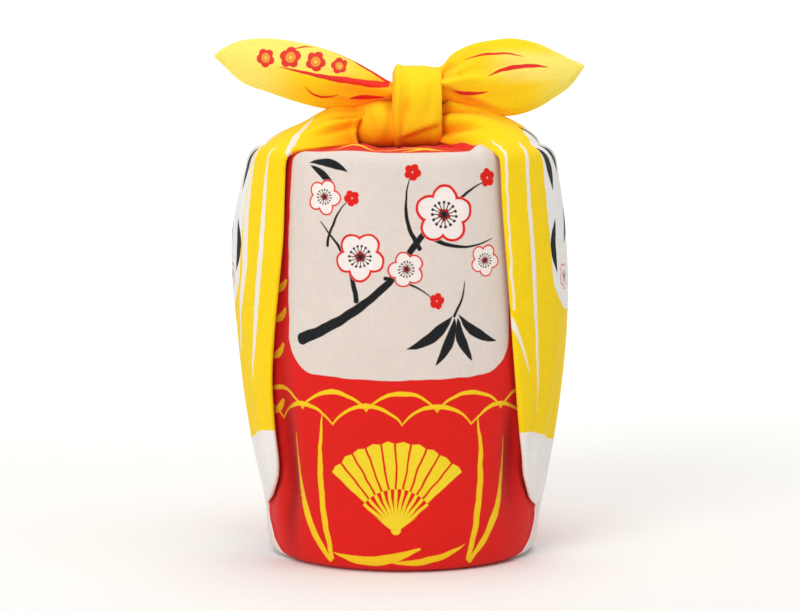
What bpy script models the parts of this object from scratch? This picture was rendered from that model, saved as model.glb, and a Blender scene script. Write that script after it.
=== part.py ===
"""Furoshiki: one square of cotton cloth wrapped round a round tin (left out) and tied on top.

The cloth is one closed solid of the folded sheet.  Its wall is a loop at every height: a front
and a back panel, two side flaps that lap over them, and at each of the four laps a Z-pleat of
three layers.  Above the rim the loop parts into four tongues.  The front and back ones lie over
the top, the side ones gather towards the middle and go into the knot, and two leaf-shaped free
ends come out of it.  Lengths in the tables are millimetres; the origin is the middle of the flat
base, +Z is up and the front panel faces -Y.
"""
import math
from collections import namedtuple

import bmesh
import bpy

MM = 0.001
CLOTH = 1.4          # thickness of the sheet
LAYER = 2.5          # pitch from one layer of a pleat to the next
PLEAT_CAP = 1.7      # how far a pleat's fold stands past the ends of its layers
PLEAT_RUN = 7.0      # half the width over which a pleat fades out at the base
OUTLINE_STEPS = 480  # samples of the outer outline at each height

# The wall, a row for each section: the reach of the outer outline to the left, right and
# front/back, its squareness (2 is an ellipse), where the side flaps' front edges lie, how far
# the panels are set in behind the flaps (0 to 1), how far the pleats are folded (0 to 1), and
# the depth of the pleats.
Section = namedtuple("Section", "z left right depth square edge_left edge_right step fold tuck")
WALL = [
    Section(0.4, 62.6, 62.6, 62.6, 2.00, -50.0, 49.0, 0.0, 0.0, 0.0),
    Section(1.9, 65.6, 65.6, 65.8, 2.00, -54.5, 53.5, 0.1, 0.0, 0.0),
    Section(6.0, 66.8, 67.0, 67.6, 2.02, -58.0, 57.0, 0.4, 0.0, 0.0),
    Section(13.0, 67.2, 68.0, 68.4, 2.05, -61.0, 60.0, 0.8, 0.0, 0.0),
    Section(21.0, 67.8, 68.8, 68.9, 2.08, -62.8, 61.8, 1.0, 0.0, 0.0),
    Section(31.0, 69.3, 71.2, 69.3, 2.12, -62.2, 61.4, 1.0, 1.0, 4.5),
    Section(40.0, 71.4, 72.8, 69.4, 2.16, -60.8, 59.6, 1.0, 1.0, 8.0),
    Section(50.0, 73.7, 74.6, 69.4, 2.19, -60.0, 58.2, 1.0, 1.0, 11.5),
    Section(68.0, 76.9, 77.4, 69.4, 2.23, -61.2, 56.3, 1.0, 1.0, 18.0),
    Section(90.0, 79.8, 80.1, 69.2, 2.25, -62.0, 54.4, 1.0, 1.0, 26.0),
    Section(113.0, 82.0, 82.0, 68.8, 2.25, -61.2, 52.6, 1.0, 1.0, 34.0),
    Section(137.0, 84.2, 82.4, 68.2, 2.25, -58.4, 50.7, 1.0, 1.0, 42.0),
    Section(160.0, 84.2, 81.2, 67.5, 2.24, -57.1, 48.8, 1.0, 1.0, 47.0),
    Section(179.0, 80.8, 79.0, 66.5, 2.22, -56.5, 47.4, 1.0, 1.0, 50.0),
    Section(193.0, 77.2, 76.8, 65.4, 2.20, -56.0, 47.0, 1.0, 1.0, 51.0),
]
BACK_EDGE_SHIFT = 3.0     # the back edges of the flaps lie this much further to the right
PANEL_INSET = 1.0         # set-in of the middle of a panel; its sides lie two layers in
PANEL_POWER = 3           # how late across a panel it sinks to its sides
FRONT_PANEL_POINTS = 9
BACK_PANEL_POINTS = 7
FLAP_POINTS = 7

# Soft vertical troughs and ridges: side of the wall, place across it (-1 to 1), height of the
# middle, half height, half width across, and depth inwards.
Crease = namedtuple("Crease", "side across z reach width depth")
CREASES = [
    Crease("front", -0.86, 38.0, 62.0, 0.15, 3.2),
    Crease("front", 0.84, 40.0, 58.0, 0.16, 2.2),
    Crease("front", -0.10, 150.0, 60.0, 0.60, -0.8),
    Crease("right", -0.48, 120.0, 80.0, 0.28, -1.2),
    Crease("right", 0.50, 90.0, 80.0, 0.26, -1.2),
    Crease("left", -0.50, 105.0, 80.0, 0.28, -1.2),
    Crease("left", 0.46, 135.0, 70.0, 0.26, -1.0),
    Crease("back", 0.35, 80.0, 90.0, 0.30, 1.8),
    Crease("back", -0.45, 110.0, 80.0, 0.30, 1.5),
]

# Each tongue turns over the rim (set-in, height), then lies or gathers towards the middle.
FRONT_TURN = [(1.0, 197.4), (3.4, 200.5), (8.0, 201.4)]
BACK_TURN = [(1.4, 196.8), (4.4, 199.8), (9.0, 200.8)]
FLAP_TURN = [(0.7, 198.0), (2.6, 201.7), (6.0, 203.8)]
TONGUE_STEPS = [0.18, 0.38, 0.58, 0.76, 0.90]   # shares of the way to a tongue's point
TONGUE_NARROWING = 0.72
FRONT_POINT_Y = 36.0
BACK_POINT_Y = -40.0
FRONT_SAG = 1.2           # a tongue sinks this much from the rim to the middle
BACK_SAG = 4.0            # the back one lies under the front one
SINKING = 5.5             # a tongue has sunk after one part in this many of its way
GATHER_STEPS = [0.14, 0.32, 0.52, 0.74, 1.0]    # shares of the way from the rim to the knot
GATHER_HALF_DEPTH = 11.5
GATHER_EDGE_Z = 204.0
# Where each side flap's gathers end: along X, how high, and the power of the shoulder's rise.
Gather = namedtuple("Gather", "x top rise")
GATHERS = {"left": Gather(-21.0, 225.5, 0.70), "right": Gather(23.0, 227.6, 0.60)}
GATHER_FOLDS = 3          # folds across a gathered flap
GATHER_FOLD_DEPTH = 1.3

# The knot: rings along X with their middle, half depth and half height.
Ring = namedtuple("Ring", "x y z half_depth half_height square")
LEFT_ROLL = [
    Ring(-28.0, 0.0, 214.0, 7.0, 7.0, 2.0),
    Ring(-24.5, 0.0, 214.3, 11.0, 10.6, 2.1),
    Ring(-20.5, 0.0, 214.6, 13.6, 12.6, 2.3),
    Ring(-14.0, -0.6, 214.4, 14.2, 12.6, 2.3),
    Ring(-7.0, -1.0, 214.2, 13.8, 12.2, 2.3),
    Ring(2.0, -1.0, 214.4, 12.4, 11.4, 2.2),
]
RIGHT_ROLL = [
    Ring(12.0, -1.0, 214.4, 12.4, 11.4, 2.2),
    Ring(18.0, -0.6, 215.2, 13.8, 13.0, 2.3),
    Ring(22.5, 0.0, 216.0, 13.8, 13.6, 2.3),
    Ring(26.5, 0.0, 215.4, 10.8, 11.0, 2.1),
    Ring(30.0, 0.0, 214.4, 7.0, 7.0, 2.0),
]
BAND = [
    Ring(-4.6, -1.0, 222.2, 14.8, 17.0, 2.5),
    Ring(-3.6, -1.0, 222.4, 17.2, 19.4, 2.6),
    Ring(1.0, -1.0, 222.5, 18.2, 20.1, 2.6),
    Ring(8.0, -1.0, 222.4, 18.5, 20.2, 2.6),
    Ring(14.0, -1.0, 222.2, 18.2, 19.9, 2.6),
    Ring(18.4, -1.0, 222.0, 17.4, 19.5, 2.6),
    Ring(19.4, -1.0, 222.0, 15.6, 17.8, 2.5),
]

# The free ends, a row for each station from the knot to the tip: the lower and upper edge, the
# middle's place front to back, half the thickness, and the depth of the folds that fan from
# the knot.
Station = namedtuple("Station", "x low high y half_thick folds")
LEFT_END = [
    Station(4.0, 224.5, 234.0, -3.0, 6.0, 0.0),
    Station(-5.0, 223.5, 234.5, -4.5, 6.2, 0.8),
    Station(-14.0, 222.5, 239.5, -6.5, 5.0, 1.6),
    Station(-24.0, 221.8, 245.0, -8.5, 3.8, 1.8),
    Station(-37.0, 221.2, 250.5, -10.0, 2.8, 1.6),
    Station(-50.5, 224.2, 254.0, -10.5, 2.3, 1.2),
    Station(-65.0, 229.0, 256.0, -9.5, 2.1, 0.9),
    Station(-79.0, 234.2, 255.2, -7.5, 2.0, 0.6),
    Station(-88.0, 242.2, 251.6, -5.0, 1.8, 0.3),
    Station(-92.8, 246.6, 248.2, -3.8, 1.0, 0.0),
]
RIGHT_END = [
    Station(10.0, 226.0, 241.0, -3.0, 6.0, 0.0),
    Station(19.5, 225.4, 242.5, -4.0, 6.4, 0.9),
    Station(25.0, 224.2, 248.4, -5.5, 5.2, 1.7),
    Station(34.0, 222.4, 253.0, -7.5, 3.9, 2.0),
    Station(44.5, 218.6, 255.2, -9.5, 2.9, 1.8),
    Station(55.0, 217.9, 256.0, -10.5, 2.4, 1.4),
    Station(66.0, 221.2, 253.9, -10.5, 2.2, 1.0),
    Station(75.5, 226.8, 249.8, -9.5, 2.0, 0.7),
    Station(83.5, 232.6, 245.8, -8.0, 1.9, 0.3),
    Station(90.0, 241.6, 243.2, -6.5, 1.0, 0.0),
]
END_FOLDS = 2.5           # folds across a free end
END_POWER = 0.7           # below 1, a free end keeps its thickness further out to its edges
RING_POINTS = 20

YELLOW = (0.94, 0.62, 0.02, 1.0)
FLOOR_BLOCK = 0.4         # side of the block that shaves the base flat, in metres


class Outline:
    """The outer outline at one height, walked by length from the middle of the front."""

    def __init__(self, section):
        self.section = section
        self.points = [self.turned(k / OUTLINE_STEPS) for k in range(OUTLINE_STEPS + 1)]
        self.lengths = [0.0]
        for here, there in zip(self.points, self.points[1:]):
            self.lengths.append(self.lengths[-1] + math.dist(here, there))
        self.round = self.lengths[-1]

    def turned(self, share):
        angle = math.tau * share - math.pi / 2
        power = 2.0 / self.section.square
        across, along = math.cos(angle), math.sin(angle)
        reach = self.section.right if across > 0 else self.section.left
        return (math.copysign(abs(across) ** power, across) * reach,
                math.copysign(abs(along) ** power, along) * self.section.depth)

    def length_at(self, x, back=False):
        """Length along the outline to the point of the front, or the back, that lies at x."""
        power = self.section.square / 2.0
        reach = self.section.right if x > 0 else self.section.left
        angle = math.acos(math.copysign(min(abs(x) / reach, 1.0) ** power, x))
        share = (angle if back else -angle) / math.tau + 0.25
        place = (share % 1.0) * OUTLINE_STEPS
        cell = min(int(place), OUTLINE_STEPS - 1)
        part = place - cell
        length = self.lengths[cell] * (1 - part) + self.lengths[cell + 1] * part
        return length - self.round if share < 0 else length

    def at(self, length, inset):
        """The point at a length along the outline, set in square to it."""
        length %= self.round
        low, high = 0, OUTLINE_STEPS
        while high - low > 1:
            middle = (low + high) // 2
            if self.lengths[middle] <= length:
                low = middle
            else:
                high = middle
        (ax, ay), (bx, by) = self.points[low], self.points[high]
        run = self.lengths[high] - self.lengths[low]
        part = (length - self.lengths[low]) / run
        out_x, out_y = (by - ay) / run, (ax - bx) / run
        return (ax + (bx - ax) * part - out_x * inset,
                ay + (by - ay) * part - out_y * inset)


def bump(offset):
    """A soft hump: 1 in the middle, 0 from -1 and 1 outwards."""
    return (1 + math.cos(math.pi * offset)) / 2 if abs(offset) < 1 else 0.0


def creased(side, across, z):
    """How far the troughs and ridges move a point of the wall inwards."""
    return sum(fold.depth * bump((across - fold.across) / fold.width)
               * bump((z - fold.z) / fold.reach)
               for fold in CREASES if fold.side == side)


def pleat(edge, inward, section):
    """The three layers of one lap, from the panel to the flap, as (length, set-in)."""
    folded = [(0, 2), (1 / 3, 2), (2 / 3, 2), (1, 2), (1, 1.5), (1, 1), (2 / 3, 1), (1 / 3, 1),
              (0, 1), (0, 0.5), (0, 0)]
    caps = {4: PLEAT_CAP, 9: -PLEAT_CAP}
    last = len(folded) - 1
    layers = []
    for k, (share, layer) in enumerate(folded):
        faded = PLEAT_RUN * (2 * k / last - 1)
        tucked = share * section.tuck + caps.get(k, 0.0)
        along = faded + (tucked - faded) * section.fold
        depth = 2 * (1 - k / last)
        depth += (layer - depth) * section.fold
        layers.append((edge + inward * along, depth * LAYER * section.step))
    return layers


def between(start, end, count):
    """Even places between two lengths, with the share from -1 to 1."""
    for k in range(1, count + 1):
        share = k / (count + 1)
        yield start + (end - start) * share, 2 * share - 1


def panel(side, start, end, count, section):
    """The set-in points of the front or back panel between two laps."""
    points = []
    for length, across in between(start, end, count):
        inset = PANEL_INSET + (2 * LAYER - PANEL_INSET) * abs(across) ** PANEL_POWER
        inset += creased(side, across, section.z)
        points.append((length, inset * section.step))
    return points


def flap(side, start, end, section):
    """The outer points of a side flap between its two edges."""
    return [(length, creased(side, across, section.z) * section.step)
            for length, across in between(start, end, FLAP_POINTS)]


def wall_pieces(section):
    """One turn of the wall as tongues and laps, each a list of (length, set-in)."""
    outline = Outline(section)
    front_right = outline.length_at(section.edge_right)
    front_left = outline.length_at(section.edge_left)
    back_right = outline.length_at(section.edge_right + BACK_EDGE_SHIFT, back=True)
    back_left = outline.length_at(section.edge_left + BACK_EDGE_SHIFT, back=True)
    full = outline.round
    laps = {
        "front_right": pleat(front_right, 1, section),
        "back_right": pleat(back_right, -1, section)[::-1],
        "back_left": pleat(back_left, 1, section),
        "front_left": pleat(front_left + full, -1, section)[::-1],
    }
    front = panel("front", laps["front_left"][-1][0], laps["front_right"][0][0] + full,
                  FRONT_PANEL_POINTS, section)
    right = flap("right", laps["front_right"][-1][0], laps["back_right"][0][0], section)
    back = panel("back", laps["back_right"][-1][0], laps["back_left"][0][0],
                 BACK_PANEL_POINTS, section)
    left = flap("left", laps["back_left"][-1][0], laps["front_left"][0][0], section)
    pieces = {
        "front": laps["front_left"][7:] + front + laps["front_right"][:4],
        "front_right": laps["front_right"][4:9],
        "right": laps["front_right"][9:] + right + laps["back_right"][:2],
        "back_right": laps["back_right"][2:7],
        "back": laps["back_right"][7:] + back + laps["back_left"][:4],
        "back_left": laps["back_left"][4:9],
        "left": laps["back_left"][9:] + left + laps["front_left"][:2],
        "front_left": laps["front_left"][2:7],
    }
    return outline, pieces


def lay_row(mesh, row):
    """Vertices for a row of points in millimetres."""
    return [mesh.verts.new((x * MM, y * MM, z * MM)) for x, y, z in row]


def join_rows(mesh, lower, upper, closed=False):
    """Quads between two rows of vertices."""
    count = len(lower)
    for k in range(count if closed else count - 1):
        after = (k + 1) % count
        mesh.faces.new((lower[k], lower[after], upper[after], upper[k]))


def turned_rows(outline, places, turn):
    """Rows that carry a tongue from the wall over the rim."""
    return [[(*outline.at(length, inset + more), z) for length, inset in places]
            for more, z in turn]


def lying_rows(start, point_y, sag):
    """Rows that carry a tongue flat over the top towards its point."""
    rows = []
    for share in TONGUE_STEPS:
        narrow = 1 - TONGUE_NARROWING * share
        rows.append([(x * narrow, y + (point_y - y) * share, z - sag * min(1, SINKING * share))
                     for x, y, z in start])
    return rows


def gathered_rows(side, start):
    """Rows that gather a side flap from the rim into the knot."""
    end = GATHERS[side]
    rows = []
    last = len(start) - 1
    for share in GATHER_STEPS:
        row = []
        for k, (x, y, z) in enumerate(start):
            turn = math.pi * k / last
            way = -1 if side == "right" else 1
            end_y = way * GATHER_HALF_DEPTH * math.cos(turn)
            end_z = GATHER_EDGE_Z + (end.top - GATHER_EDGE_Z) * math.sin(turn)
            fold = GATHER_FOLD_DEPTH * math.sin(math.pi * share) * bump(1 - 2 * k / last)
            fold *= math.cos(2 * GATHER_FOLDS * turn)
            row.append((x + (end.x - x) * share,
                        y + (end_y - y) * share,
                        z + (end_z - z) * share ** end.rise + fold))
        rows.append(row)
    return rows


def folded_sheet():
    """The open middle surface of the cloth: base, wall and the four tongues over the top."""
    mesh = bmesh.new()
    rows = []
    for section in WALL:
        outline, pieces = wall_pieces(section)
        places = [place for piece in pieces.values() for place in piece]
        rows.append(lay_row(mesh, [(*outline.at(*place), section.z) for place in places]))
    for lower, upper in zip(rows, rows[1:]):
        join_rows(mesh, lower, upper, closed=True)
    middle = mesh.verts.new((0.0, 0.0, WALL[0].z * MM))
    base = rows[0]
    for here, there in zip(base, base[1:] + base[:1]):
        mesh.faces.new((there, here, middle))

    rim = rows[-1]
    first = 0
    for name, places in pieces.items():
        lower = rim[first:first + len(places)]
        first += len(places)
        if name == "front":
            tongue = turned_rows(outline, places, FRONT_TURN)
            tongue += lying_rows(tongue[-1], FRONT_POINT_Y, FRONT_SAG)
        elif name == "back":
            tongue = turned_rows(outline, places, BACK_TURN)
            tongue += lying_rows(tongue[-1], BACK_POINT_Y, BACK_SAG)
        elif name in GATHERS:
            tongue = turned_rows(outline, places, FLAP_TURN)
            tongue += gathered_rows(name, tongue[-1])
        else:
            continue
        for row in tongue:
            upper = lay_row(mesh, row)
            join_rows(mesh, lower, upper)
            lower = upper
    return mesh


def ring_points(x, y, z, half_depth, half_height, square):
    """One closed turn of a roll round the X axis."""
    power = 2.0 / square
    for k in range(RING_POINTS):
        angle = math.tau * k / RING_POINTS
        across, up = math.cos(angle), math.sin(angle)
        yield (x, y + math.copysign(abs(across) ** power, across) * half_depth,
               z + math.copysign(abs(up) ** power, up) * half_height)


def end_points(station):
    """One closed turn of a free end: two layers pressed together, with folds from the knot."""
    middle = (station.low + station.high) / 2
    half = (station.high - station.low) / 2
    for k in range(RING_POINTS):
        angle = math.tau * k / RING_POINTS
        up = math.sin(angle)
        across = math.copysign(abs(math.cos(angle)) ** END_POWER, math.cos(angle))
        fold = station.folds * math.cos(math.pi * END_FOLDS * up)
        yield (station.x, station.y + across * station.half_thick + fold * (1 - up * up),
               middle + half * up)


def roll(turns):
    """A closed solid through a list of turns of equal count."""
    mesh = bmesh.new()
    rows = [lay_row(mesh, turn) for turn in turns]
    for lower, upper in zip(rows, rows[1:]):
        join_rows(mesh, lower, upper, closed=True)
    mesh.faces.new(rows[0])
    mesh.faces.new(rows[-1])
    bmesh.ops.recalc_face_normals(mesh, faces=mesh.faces[:])
    return mesh


def add_object(name, mesh, collection):
    data = bpy.data.meshes.new(name)
    mesh.to_mesh(data)
    mesh.free()
    data.shade_smooth()
    made = bpy.data.objects.new(name, data)
    collection.objects.link(made)
    return made


def add_collection(name):
    made = bpy.data.collections.new(name)
    bpy.context.scene.collection.children.link(made)
    return made


def cotton():
    made = bpy.data.materials.new("printed_cotton")
    made.use_nodes = True
    shader = made.node_tree.nodes["Principled BSDF"]
    shader.inputs["Base Color"].default_value = YELLOW
    shader.inputs["Roughness"].default_value = 0.85
    shader.inputs["Metallic"].default_value = 0.0
    made.diffuse_color = YELLOW
    return made


def floor_block(collection):
    """What shaves the base flat at z = 0."""
    bpy.ops.mesh.primitive_cube_add(size=FLOOR_BLOCK, location=(0.0, 0.0, -FLOOR_BLOCK / 2))
    block = bpy.context.object
    block.name = "floor_block"
    for owner in list(block.users_collection):
        owner.objects.unlink(block)
    collection.objects.link(block)
    return block


def main():
    for old in list(bpy.data.objects):
        bpy.data.objects.remove(old, do_unlink=True)
    parts = add_collection("furoshiki")
    tools = add_collection("joined_shapes")

    cloth = add_object("furoshiki_cloth", folded_sheet(), parts)
    cloth.data.materials.append(cotton())
    thick = cloth.modifiers.new("thickness", "SOLIDIFY")
    thick.thickness = CLOTH * MM
    thick.offset = 0.0

    knot = [
        add_object("left_roll", roll([list(ring_points(*ring)) for ring in LEFT_ROLL]), tools),
        add_object("right_roll", roll([list(ring_points(*ring)) for ring in RIGHT_ROLL]), tools),
        add_object("band", roll([list(ring_points(*ring)) for ring in BAND]), tools),
        add_object("left_end", roll([list(end_points(place)) for place in LEFT_END]), tools),
        add_object("right_end", roll([list(end_points(place)) for place in RIGHT_END]), tools),
    ]
    for piece in knot:
        tied = cloth.modifiers.new("tied_" + piece.name, "BOOLEAN")
        tied.operation = "UNION"
        tied.object = piece
    shaved = cloth.modifiers.new("flat_base", "BOOLEAN")
    shaved.operation = "DIFFERENCE"
    shaved.object = floor_block(tools)
    for piece in tools.objects:
        piece.hide_render = True
        piece.display_type = "WIRE"


main()
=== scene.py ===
"""Looks of a tied furoshiki: one square of printed cotton, folded upright and knotted on top.

The cloth is one thin sheet laid in the folds of its solid.  Lengths in the tables are
millimetres, +Z is up, the front faces -Y and +X is to the right.
"""

import math
from collections import namedtuple
from functools import partial

import bmesh
import bpy
import numpy as np
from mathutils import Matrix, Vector


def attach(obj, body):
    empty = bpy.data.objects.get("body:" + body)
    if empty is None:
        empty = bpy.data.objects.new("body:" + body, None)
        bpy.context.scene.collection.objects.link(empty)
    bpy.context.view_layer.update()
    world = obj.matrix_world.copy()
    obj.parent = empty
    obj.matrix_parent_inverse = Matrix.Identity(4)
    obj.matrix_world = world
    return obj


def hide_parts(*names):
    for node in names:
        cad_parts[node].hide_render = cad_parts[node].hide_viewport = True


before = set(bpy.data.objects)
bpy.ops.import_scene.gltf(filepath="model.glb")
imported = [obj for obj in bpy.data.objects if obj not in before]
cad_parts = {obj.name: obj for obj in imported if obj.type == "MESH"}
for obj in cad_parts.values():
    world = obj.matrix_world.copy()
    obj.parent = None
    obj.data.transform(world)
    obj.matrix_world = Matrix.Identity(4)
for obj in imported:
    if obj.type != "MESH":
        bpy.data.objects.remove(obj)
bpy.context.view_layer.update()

MM = 0.001
CLOTH = 0.5               # thickness of plain-woven cotton
SKIN = 0.45               # the sheet's middle lies this far outside the outline of the wall
LAYER = 2.5               # pitch from one layer of a pleat to the next, at the flap's edge
PLEAT_CAP = 1.7           # how far a pleat's fold stands past the ends of its layers
PLEAT_RUN = 7.0           # half the width over which a pleat fades out at the base
OUTLINE_STEPS = 720       # samples of the outer outline at each height
BASE_Z = 0.25


def rows_of(kind, table):
    """The rows of a table, with the names of its columns."""
    return [kind(*row) for row in table]


# The wall, a row for each section: the reach of the outline to the left, right and front or
# back, its squareness (2 is an ellipse), where the side flaps' front edges lie, how far the
# panels are set in behind the flaps, how far the pleats are folded, and the pleats' depth.
Section = namedtuple("Section", "z left right depth square edge_left edge_right step fold tuck")
WALL = rows_of(Section, [
    (BASE_Z, 60.6, 60.6, 62.4, 2.00, -51.5, 51.5, 0, 0, 0),
    (1.9, 64.2, 64.4, 65.8, 2.00, -56.5, 56.6, 0.1, 0, 0),
    (6, 66.4, 66.8, 67.6, 2.02, -61.8, 61.8, 0.2, 0, 0),
    (13, 67.2, 68, 68.4, 2.05, -65, 65.2, 0.3, 0, 0),
    (21, 67.8, 68.8, 68.9, 2.08, -67.3, 67, 0.4, 0, 0),
    (31, 69.3, 71.2, 69.3, 2.12, -65.5, 64.3, 0.8, 1, 15),
    (40, 71.4, 72.8, 69.4, 2.16, -63.2, 62.3, 1, 1, 23),
    (50, 73.7, 74.6, 69.4, 2.19, -62.8, 60.9, 1, 1, 31),
    (68, 76.9, 77.4, 69.4, 2.23, -64.1, 58.7, 1, 1, 45),
    (90, 79.8, 80.1, 69.2, 2.25, -65.1, 56.8, 1, 1, 62),
    (113, 82, 82, 68.8, 2.25, -63.8, 55, 1, 1, 80),
    (137, 84.2, 82.4, 68.2, 2.25, -61.4, 53.1, 1, 1, 98),
    (160, 84.2, 81.2, 67.5, 2.24, -59.2, 51.2, 1, 1, 111),
    (179, 80.8, 79, 66.5, 2.22, -58.6, 49.8, 1, 1, 116),
    (193, 77.2, 76.8, 65.4, 2.2, -58.2, 49.2, 1, 1, 118),
])
# Heights of the rows of the base's curve and of the laps' start.
LOW_ROWS = [0.25, 0.9, 1.9, 3.6, 6.0, 9.3, 13.0, 17.0, 21.0, 23.5, 26.0, 28.5, 31.0]
ROW_STEP = 4.0            # pitch of the rows above those, up to the rim
BACK_EDGE_SHIFT = 3.0     # the back edges of the flaps lie this much further to the right
PANEL_INSET = 1.0         # set-in of the middle of a panel; its sides lie two layers in
PANEL_POWER = 3           # how late across a panel it sinks to its sides
TROUGH = 3.2              # a trough this deep is fully shaded
PANEL_COLUMNS = 60
BACK_COLUMNS = 36
FLAP_COLUMNS = 62
FLAP_CROWDING = 1.3       # above 1, a flap's columns lie closer towards its front edge
LAYER_COLUMNS = 7         # columns along one hidden layer of a pleat
LAYER_CROWDING = 1.4      # above 1, they lie closer towards the flap's edge
CAP_TURNS = [36, 72, 108, 144]    # degrees of the columns round a pleat's fold
TUCK_SHARE = 0.85         # a pleat reaches no further under its flap than this share of it
LAYER_EASE = 10.0         # the layers close up over about this length from the flap's edge
SNUG_LAYERS = {"front": (1.5, 3.0), "back": (6.2, 7.4)}    # set-in of middle and inner layers
BASE_RINGS = [0.86, 0.66, 0.42, 0.18]
BASE_SHIFT = (0, 60, 0)   # the base takes its print from this much further down the cloth
FOLDED_FROM = 21.0        # the pleats lie flat up to this height
FAR_FROM_HEM = 50.0       # distance to the hem where none shows

# Soft vertical troughs and ridges: side of the wall, how far round from its middle, height of
# the middle, half height, half width, and depth inwards.
Crease = namedtuple("Crease", "side along z reach width depth")
CREASES = rows_of(Crease, [
    ("front", -63.5, 44, 62, 11, 4.2),
    ("front", -66, 125, 80, 10, 1.6),
    ("front", -77, 24, 26, 9, -1),
    ("front", 60, 52, 40, 12, 3.4),
    ("front", 76, 26, 26, 9, -1),
    ("front", -6, 150, 60, 40, -0.8),
    ("right", -30, 120, 80, 18, -1.2),
    ("right", -42, 66, 48, 5, 1),
    ("right", -26, 72, 62, 7, 1.3),
    ("right", 30, 90, 80, 18, -1.2),
    ("left", -30, 105, 80, 18, -1.2),
    ("left", 44, 64, 46, 5, 0.9),
    ("left", 27, 80, 60, 7, 1.2),
    ("left", 29, 135, 70, 18, -1),
    ("back", 20, 80, 90, 18, 1.8),
    ("back", -26, 110, 80, 18, 1.5),
])

# Each tongue turns over the rim (set-in, height), then lies or gathers towards the middle.
RIM = (0.0, 193.0)
FRONT_TURN = [RIM, (1.0, 197.4), (3.4, 200.5), (8.0, 201.4)]
BACK_TURN = [RIM, (1.4, 196.8), (4.4, 199.8), (9.0, 200.8)]
FLAP_TURN = [RIM, (0.7, 198.0), (2.6, 201.7), (6.0, 203.8)]
TURN_ROWS = 8
# How the crest of the front panel rises and dips: place across, half width, rise.
Rise = namedtuple("Rise", "x width rise")
CREST = rows_of(Rise, [(42.5, 7, 3), (-27, 16, 0.8), (2, 26, -0.5),
                       (-57, 6, -1.2), (52, 5, -1.2)])
EDGE_DROOP = 1.7          # how far the front edges of the flaps droop at the rim
DROOP_SHARE = 0.16        # and over which share of the flap
DRAWN_IN = {"left": 3.4, "right": 2.4}    # how far the flaps are drawn in over the rim
DRAWN_POWER = 1.3         # how late over the rim they are drawn in
LYING_ROWS = 12           # rows of a tongue on its way over the top
LYING_REACH = 0.9         # share of the way to its point that a tongue covers
SAG_RUN = 22.0            # a tongue's own sag gives way to its far one over this length
# Then it is folded to and fro under itself: share of the way, and how far below.
UNDER = [(0.88, 1.6), (0.72, 1.6), (0.50, 1.6), (0.26, 1.6), (0.24, 3.2), (0.46, 3.2),
         (0.68, 3.2), (0.84, 3.2), (0.82, 4.8), (0.64, 4.8), (0.44, 4.8), (0.24, 4.8)]
FRONT_NARROWING = 0.46
BACK_NARROWING = 0.72
FRONT_POINT_Y = 3.0
BACK_POINT_Y = -40.0
# How far a tongue sags on its own half of the top, and past the middle; the back tongue lies
# under the front one there.
FRONT_SAG = (0.5, 0.5)
BACK_SAG = (1.6, 8.0)
SINKING = 5.5             # a tongue has sunk after one part in this many of its way
# Humps of the front tongue under the knot: place, half widths along X and Y, height.
Hump = namedtuple("Hump", "x y wide deep rise")
HUMPS = rows_of(Hump, [(0, -28, 92, 26, 1.4), (-25, -32, 13, 22, 1.9),
                       (11, -31, 13, 20, 1.3), (-6, -36, 6, 12, -0.5),
                       (33, -36, 10, 14, -0.9), (-22, -10, 12, 15, 2.6),
                       (22, -9, 12, 13, 3.2)])
BACK_HUMPS = rows_of(Hump, [(-24, 36, 20, 22, 1.3), (20, 40, 24, 16, 1),
                            (2, 30, 9, 20, -0.9)])

GATHER_ROWS = 26
HIDDEN_SINK = 2.6         # the hidden layers of a shoulder lie this much deeper than at the rim
HIDDEN_FROM = 1.5         # cloth that is set in by more than this is hidden
HIDDEN_SINKING = 3        # it has sunk after one part in this many of its way
GATHER_EDGE_Z = 204.0
# Where each side flap's gathers end: along X, how far they lean over and curl back, half depth,
# how high, the power of the shoulder's rise, and how much further they run into the knot.
Gather = namedtuple("Gather", "x lean curl half_depth top rise run_in")
GATHERS = {"left": Gather(-25, 0.42, 0.044, 17.4, 226, 0.70, 0),
           "right": Gather(23, 0, 0, 14.5, 227.6, 0.60, 9)}
GATHER_MIDDLE_Z = 214.0
GATHER_SQUARE = 0.82      # below 1, the gathers' end is squarer than an ellipse
# The lip at the end of the left gathers curls in: (along X, size).
LIP = [(0.9, 1.04), (2.3, 1.04), (3.2, 0.99), (3.0, 0.91), (1.4, 0.84), (-1.6, 0.77)]
INNER_DROP = 0.3          # how much of its set-in an inner layer of the gathers hangs lower
RUN_IN_SIZE = 0.55        # size that the right gathers shrink to inside the knot
RUN_IN_STEPS = (0.33, 0.67, 1.0)
HEART_RISE = 6.0          # the gathers shrink towards a place this far above their edge
LEAN_OUT = 0.6            # how much the shoulders' folds move up rather than out at the rim
FOLD_SHADE = 0.22         # shade in a shoulder's fold for each millimetre of its depth
LIP_SHADE = 0.9

# How deep the shade is where they meet the knot, and how far it reaches along them.
KNOT_SHADE = {"left": (0.85, 0.34), "right": (0.35, 0.20)}

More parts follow.
